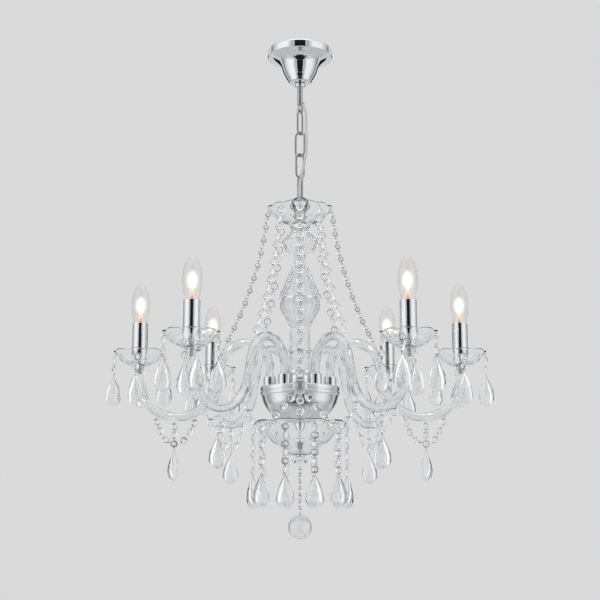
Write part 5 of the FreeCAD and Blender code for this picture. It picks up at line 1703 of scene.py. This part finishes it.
    def build_dish_drops(self) -> None:
        """Beads and pear at ten points of the lower dish's rim."""
        stone = pear_stone(36.0, 61.0, 19.0)
        for k in range(10):
            surface = Surface()
            hook = polar(LOWER_DISH - 2.0, 36.0 * k, self.dish_hook_level)
            foot = np.array([hook[0], hook[1], self.dish_foot_level])
            self.lay(surface, hanging(np.stack([hook, foot]), polar(1.0, 36.0 * k, 0.0)))
            self.drop(surface, stone, foot, self.dish_spin[k])
            names = [name % (k + 1) for name in ("dish_pear_%d", "dish_drop_%d", "dish_pendant_%d")]
            self.close(surface, *names)

    def build_ball(self) -> None:
        """Cut ball on a string of small octagons under the finial."""
        surface = Surface()
        line = np.array([[0.0, 0.0, -834.35], [0.0, 0.0, -922.5]])
        self.lay(surface, hanging(line, FRONT, self.small_bead), self.small)
        place = np.array([[0.0, 0.0, self.ball_level]])
        surface.copies(ball_stone(self.ball_radius, 16, 11), np.eye(3)[None], place, 0)
        self.close(surface, "ball_and_string", "ball_pendant", Body.BALL.value)


# studio


@dataclass
class Studio:
    """Pale room, soft boxes, dark flags and the camera."""

    grey: Corner = (0.70, 0.70, 0.705)
    camera_place: Corner = (0.0, -2.226, -0.932)
    camera_aim: Corner = (0.0, 0.0, -0.5115)
    lens: float = 69.9
    # strength of the painted grey glow of the black cloth seen through glass
    cloth_glow_in_glass: float = 0.24
    room_light: Corner = (0.96, 0.98, 1.0)
    room_strength: float = 0.85
    floor_level: float = -2.3
    floor_radius: float = 3.4
    foot: float = -2.2
    box_top: float = 2.3
    flag_top: float = 1.6

    def build(self) -> None:
        """Build the studio."""
        bpy.context.scene.view_settings.view_transform = "Standard"
        self.build_world()
        self.build_floor()
        self.build_lights()
        self.build_flags()
        self.build_camera()

    def seen(self, g: Graph) -> Value:
        """Test of the kind of ray.

        Args:
            g: graph of the material or world.

        Returns:
            One where a camera, glossy or transmitted ray looks, or else zero.
        """
        path = g.node("ShaderNodeLightPath", {}, {})
        rays = [Value(g, path.outputs[n]) for n in ("Is Camera Ray", "Is Glossy Ray", "Is Transmission Ray")]
        return (rays[0] + rays[1] + rays[2]).clipped()

    def build_world(self) -> None:
        """Plain pale grey for what is seen, softer for what it lights."""
        world = bpy.data.worlds.new("studio")
        world.use_nodes = True
        bpy.context.scene.world = world
        g = Graph(world.node_tree)
        shown = g.node("ShaderNodeBackground", {}, {"Color": (*self.grey, 1.0), "Strength": 1.0})
        light = g.node("ShaderNodeBackground", {}, {"Color": (*self.room_light, 1.0),
                                                    "Strength": self.room_strength})
        mixed = g.node("ShaderNodeMixShader", {}, {0: self.seen(g), 1: light.outputs[0], 2: shown.outputs[0]})
        g.output("ShaderNodeOutputWorld", mixed)

    def plane(self, name: str, corners: Sequence[Corner], material: bpy.types.Material) -> bpy.types.Object:
        """Flat stage sheet.

        Args:
            name: object name.
            corners: its corners, in metres.
            material: its finish.

        Returns:
            The new object.
        """
        mesh = bpy.data.meshes.new(name)
        mesh.from_pydata([tuple(c) for c in corners], [], [tuple(range(len(corners)))])
        mesh.materials.append(material)
        made = bpy.data.objects.new(name, mesh)
        bpy.context.scene.collection.objects.link(made)
        return made

    def upright(self, start: Corner, end: Corner, top: float) -> list[Corner]:
        """Corners of an upright sheet between two places in plan, up to a top, in metres."""
        return [(*start, self.foot), (*end, self.foot), (*end, top), (*start, top)]

    def build_floor(self) -> None:
        """Wide pale floor well under the part."""
        material, g = new_material("pale_floor")
        mottle = g.noise(g.place(), 3.0, 3.0)
        colour = g.blend(mottle, (0.72, 0.72, 0.725), (0.70, 0.70, 0.705))
        g.surface({"Base Color": colour, "Roughness": 0.9})
        ring = circle(self.floor_radius, self.floor_level, 64).tolist()
        self.plane("floor", ring, material)

    def build_lights(self) -> None:
        """Tall soft boxes left and right of the camera, brightest in the middle, and a broad one above."""
        for name, side, strength in (("left_box", -1.0, 1.12), ("right_box", 1.0, 1.08)):
            material, g = new_material(name)
            along = Value(g, g.axes()["Y"])
            ramp = g.node("ShaderNodeValToRGB", {"stops": [
                (0.0, (0.30, 0.30, 0.31, 1.0)), (0.30, (1.0, 1.0, 1.0, 1.0)), (0.55, (0.92, 0.93, 0.95, 1.0)),
                (1.0, (0.10, 0.10, 0.11, 1.0))]}, {"Fac": (along * 0.2 + 0.64).clipped()})
            shader = g.node("ShaderNodeEmission", {}, {"Color": ramp.outputs[0], "Strength": strength})
            g.output("ShaderNodeOutputMaterial", shader)
            corners = self.upright((side * 1.45, -3.2), (side * 3.0, 1.8), self.box_top)
            self.plane(name, corners, material).visible_camera = False
        lamp = bpy.data.lights.new("top_box", "AREA")
        lamp.shape = "RECTANGLE"
        lamp.size, lamp.size_y = 2.2, 2.2
        lamp.energy = 16.0
        made = bpy.data.objects.new("top_box", lamp)
        made.location = (0.0, -0.4, 1.7)
        made.visible_camera = False
        bpy.context.scene.collection.objects.link(made)

    def build_flags(self) -> None:
        """Dark cloth behind the camera and narrow flags beside the backdrop, unseen by the camera and casting
        no shade: dark sheets that show only in reflections and through glass, where the cloth glows a painted
        grey.
        """
        material, g = new_material("black_cloth")
        weave = g.noise(g.place(), 400.0, 2.0)
        colour = g.blend(weave, (0.012, 0.012, 0.013), (0.02, 0.02, 0.021))
        cloth = g.node("ShaderNodeBsdfPrincipled", {}, {"Base Color": colour, "Roughness": 1.0,
                                                        "Specular IOR Level": 0.0})
        # painted light: the cloth glows grey to rays through glass, though it is no lamp
        painted_glow = g.node("ShaderNodeEmission", {}, {"Color": (1.0, 1.0, 1.0, 1.0),
                                                "Strength": self.cloth_glow_in_glass})
        path = g.node("ShaderNodeLightPath", {}, {})
        mixed = g.node("ShaderNodeMixShader", {}, {0: Value(g, path.outputs["Is Transmission Ray"]),
                                                   1: cloth.outputs[0], 2: painted_glow.outputs[0]})
        g.output("ShaderNodeOutputMaterial", mixed)
        sheets = {
            "camera_cloth": self.upright((-1.1, -3.1), (1.1, -3.1), self.box_top),
            "low_cloth": [(-1.1, -3.1, -2.25), (1.1, -3.1, -2.25), (1.1, -0.7, -2.25), (-1.1, -0.7, -2.25)],
            "left_flag": self.upright((-1.9, 4.6), (-4.6, 4.6), self.flag_top),
            "right_flag": self.upright((1.9, 4.6), (4.6, 4.6), self.flag_top),
        }
        for name, corners in sheets.items():
            sheet = self.plane(name, corners, material)
            sheet.visible_camera = False
            sheet.visible_diffuse = False
            sheet.visible_shadow = False
            sheet.visible_transmission = not name.endswith("flag")

    def build_camera(self) -> None:
        """Camera at the photograph's place, looking a little up."""
        data = bpy.data.cameras.new("camera")
        data.lens = self.lens
        data.sensor_width = 36.0
        data.clip_end = 60.0
        made = bpy.data.objects.new("camera", data)
        made.location = self.camera_place
        aim = Vector(self.camera_aim) - made.location
        made.rotation_euler = aim.to_track_quat("-Z", "Y").to_euler()
        bpy.context.scene.collection.objects.link(made)
        bpy.context.scene.camera = made


def main() -> None:
    """Build the chandelier and the studio."""
    logging.basicConfig(level=logging.INFO, format="%(name)s %(message)s")
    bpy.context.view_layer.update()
    finishes = Finishes()
    Studio().build()
    Chain(finishes).build()
    CeilingFixing(finishes).build()
    Column(finishes).build()
    Hub(finishes).build()
    arms = Arms(finishes)
    arms.build()
    Dressing(finishes, arms).build()


if __name__ == "__main__":
    main()
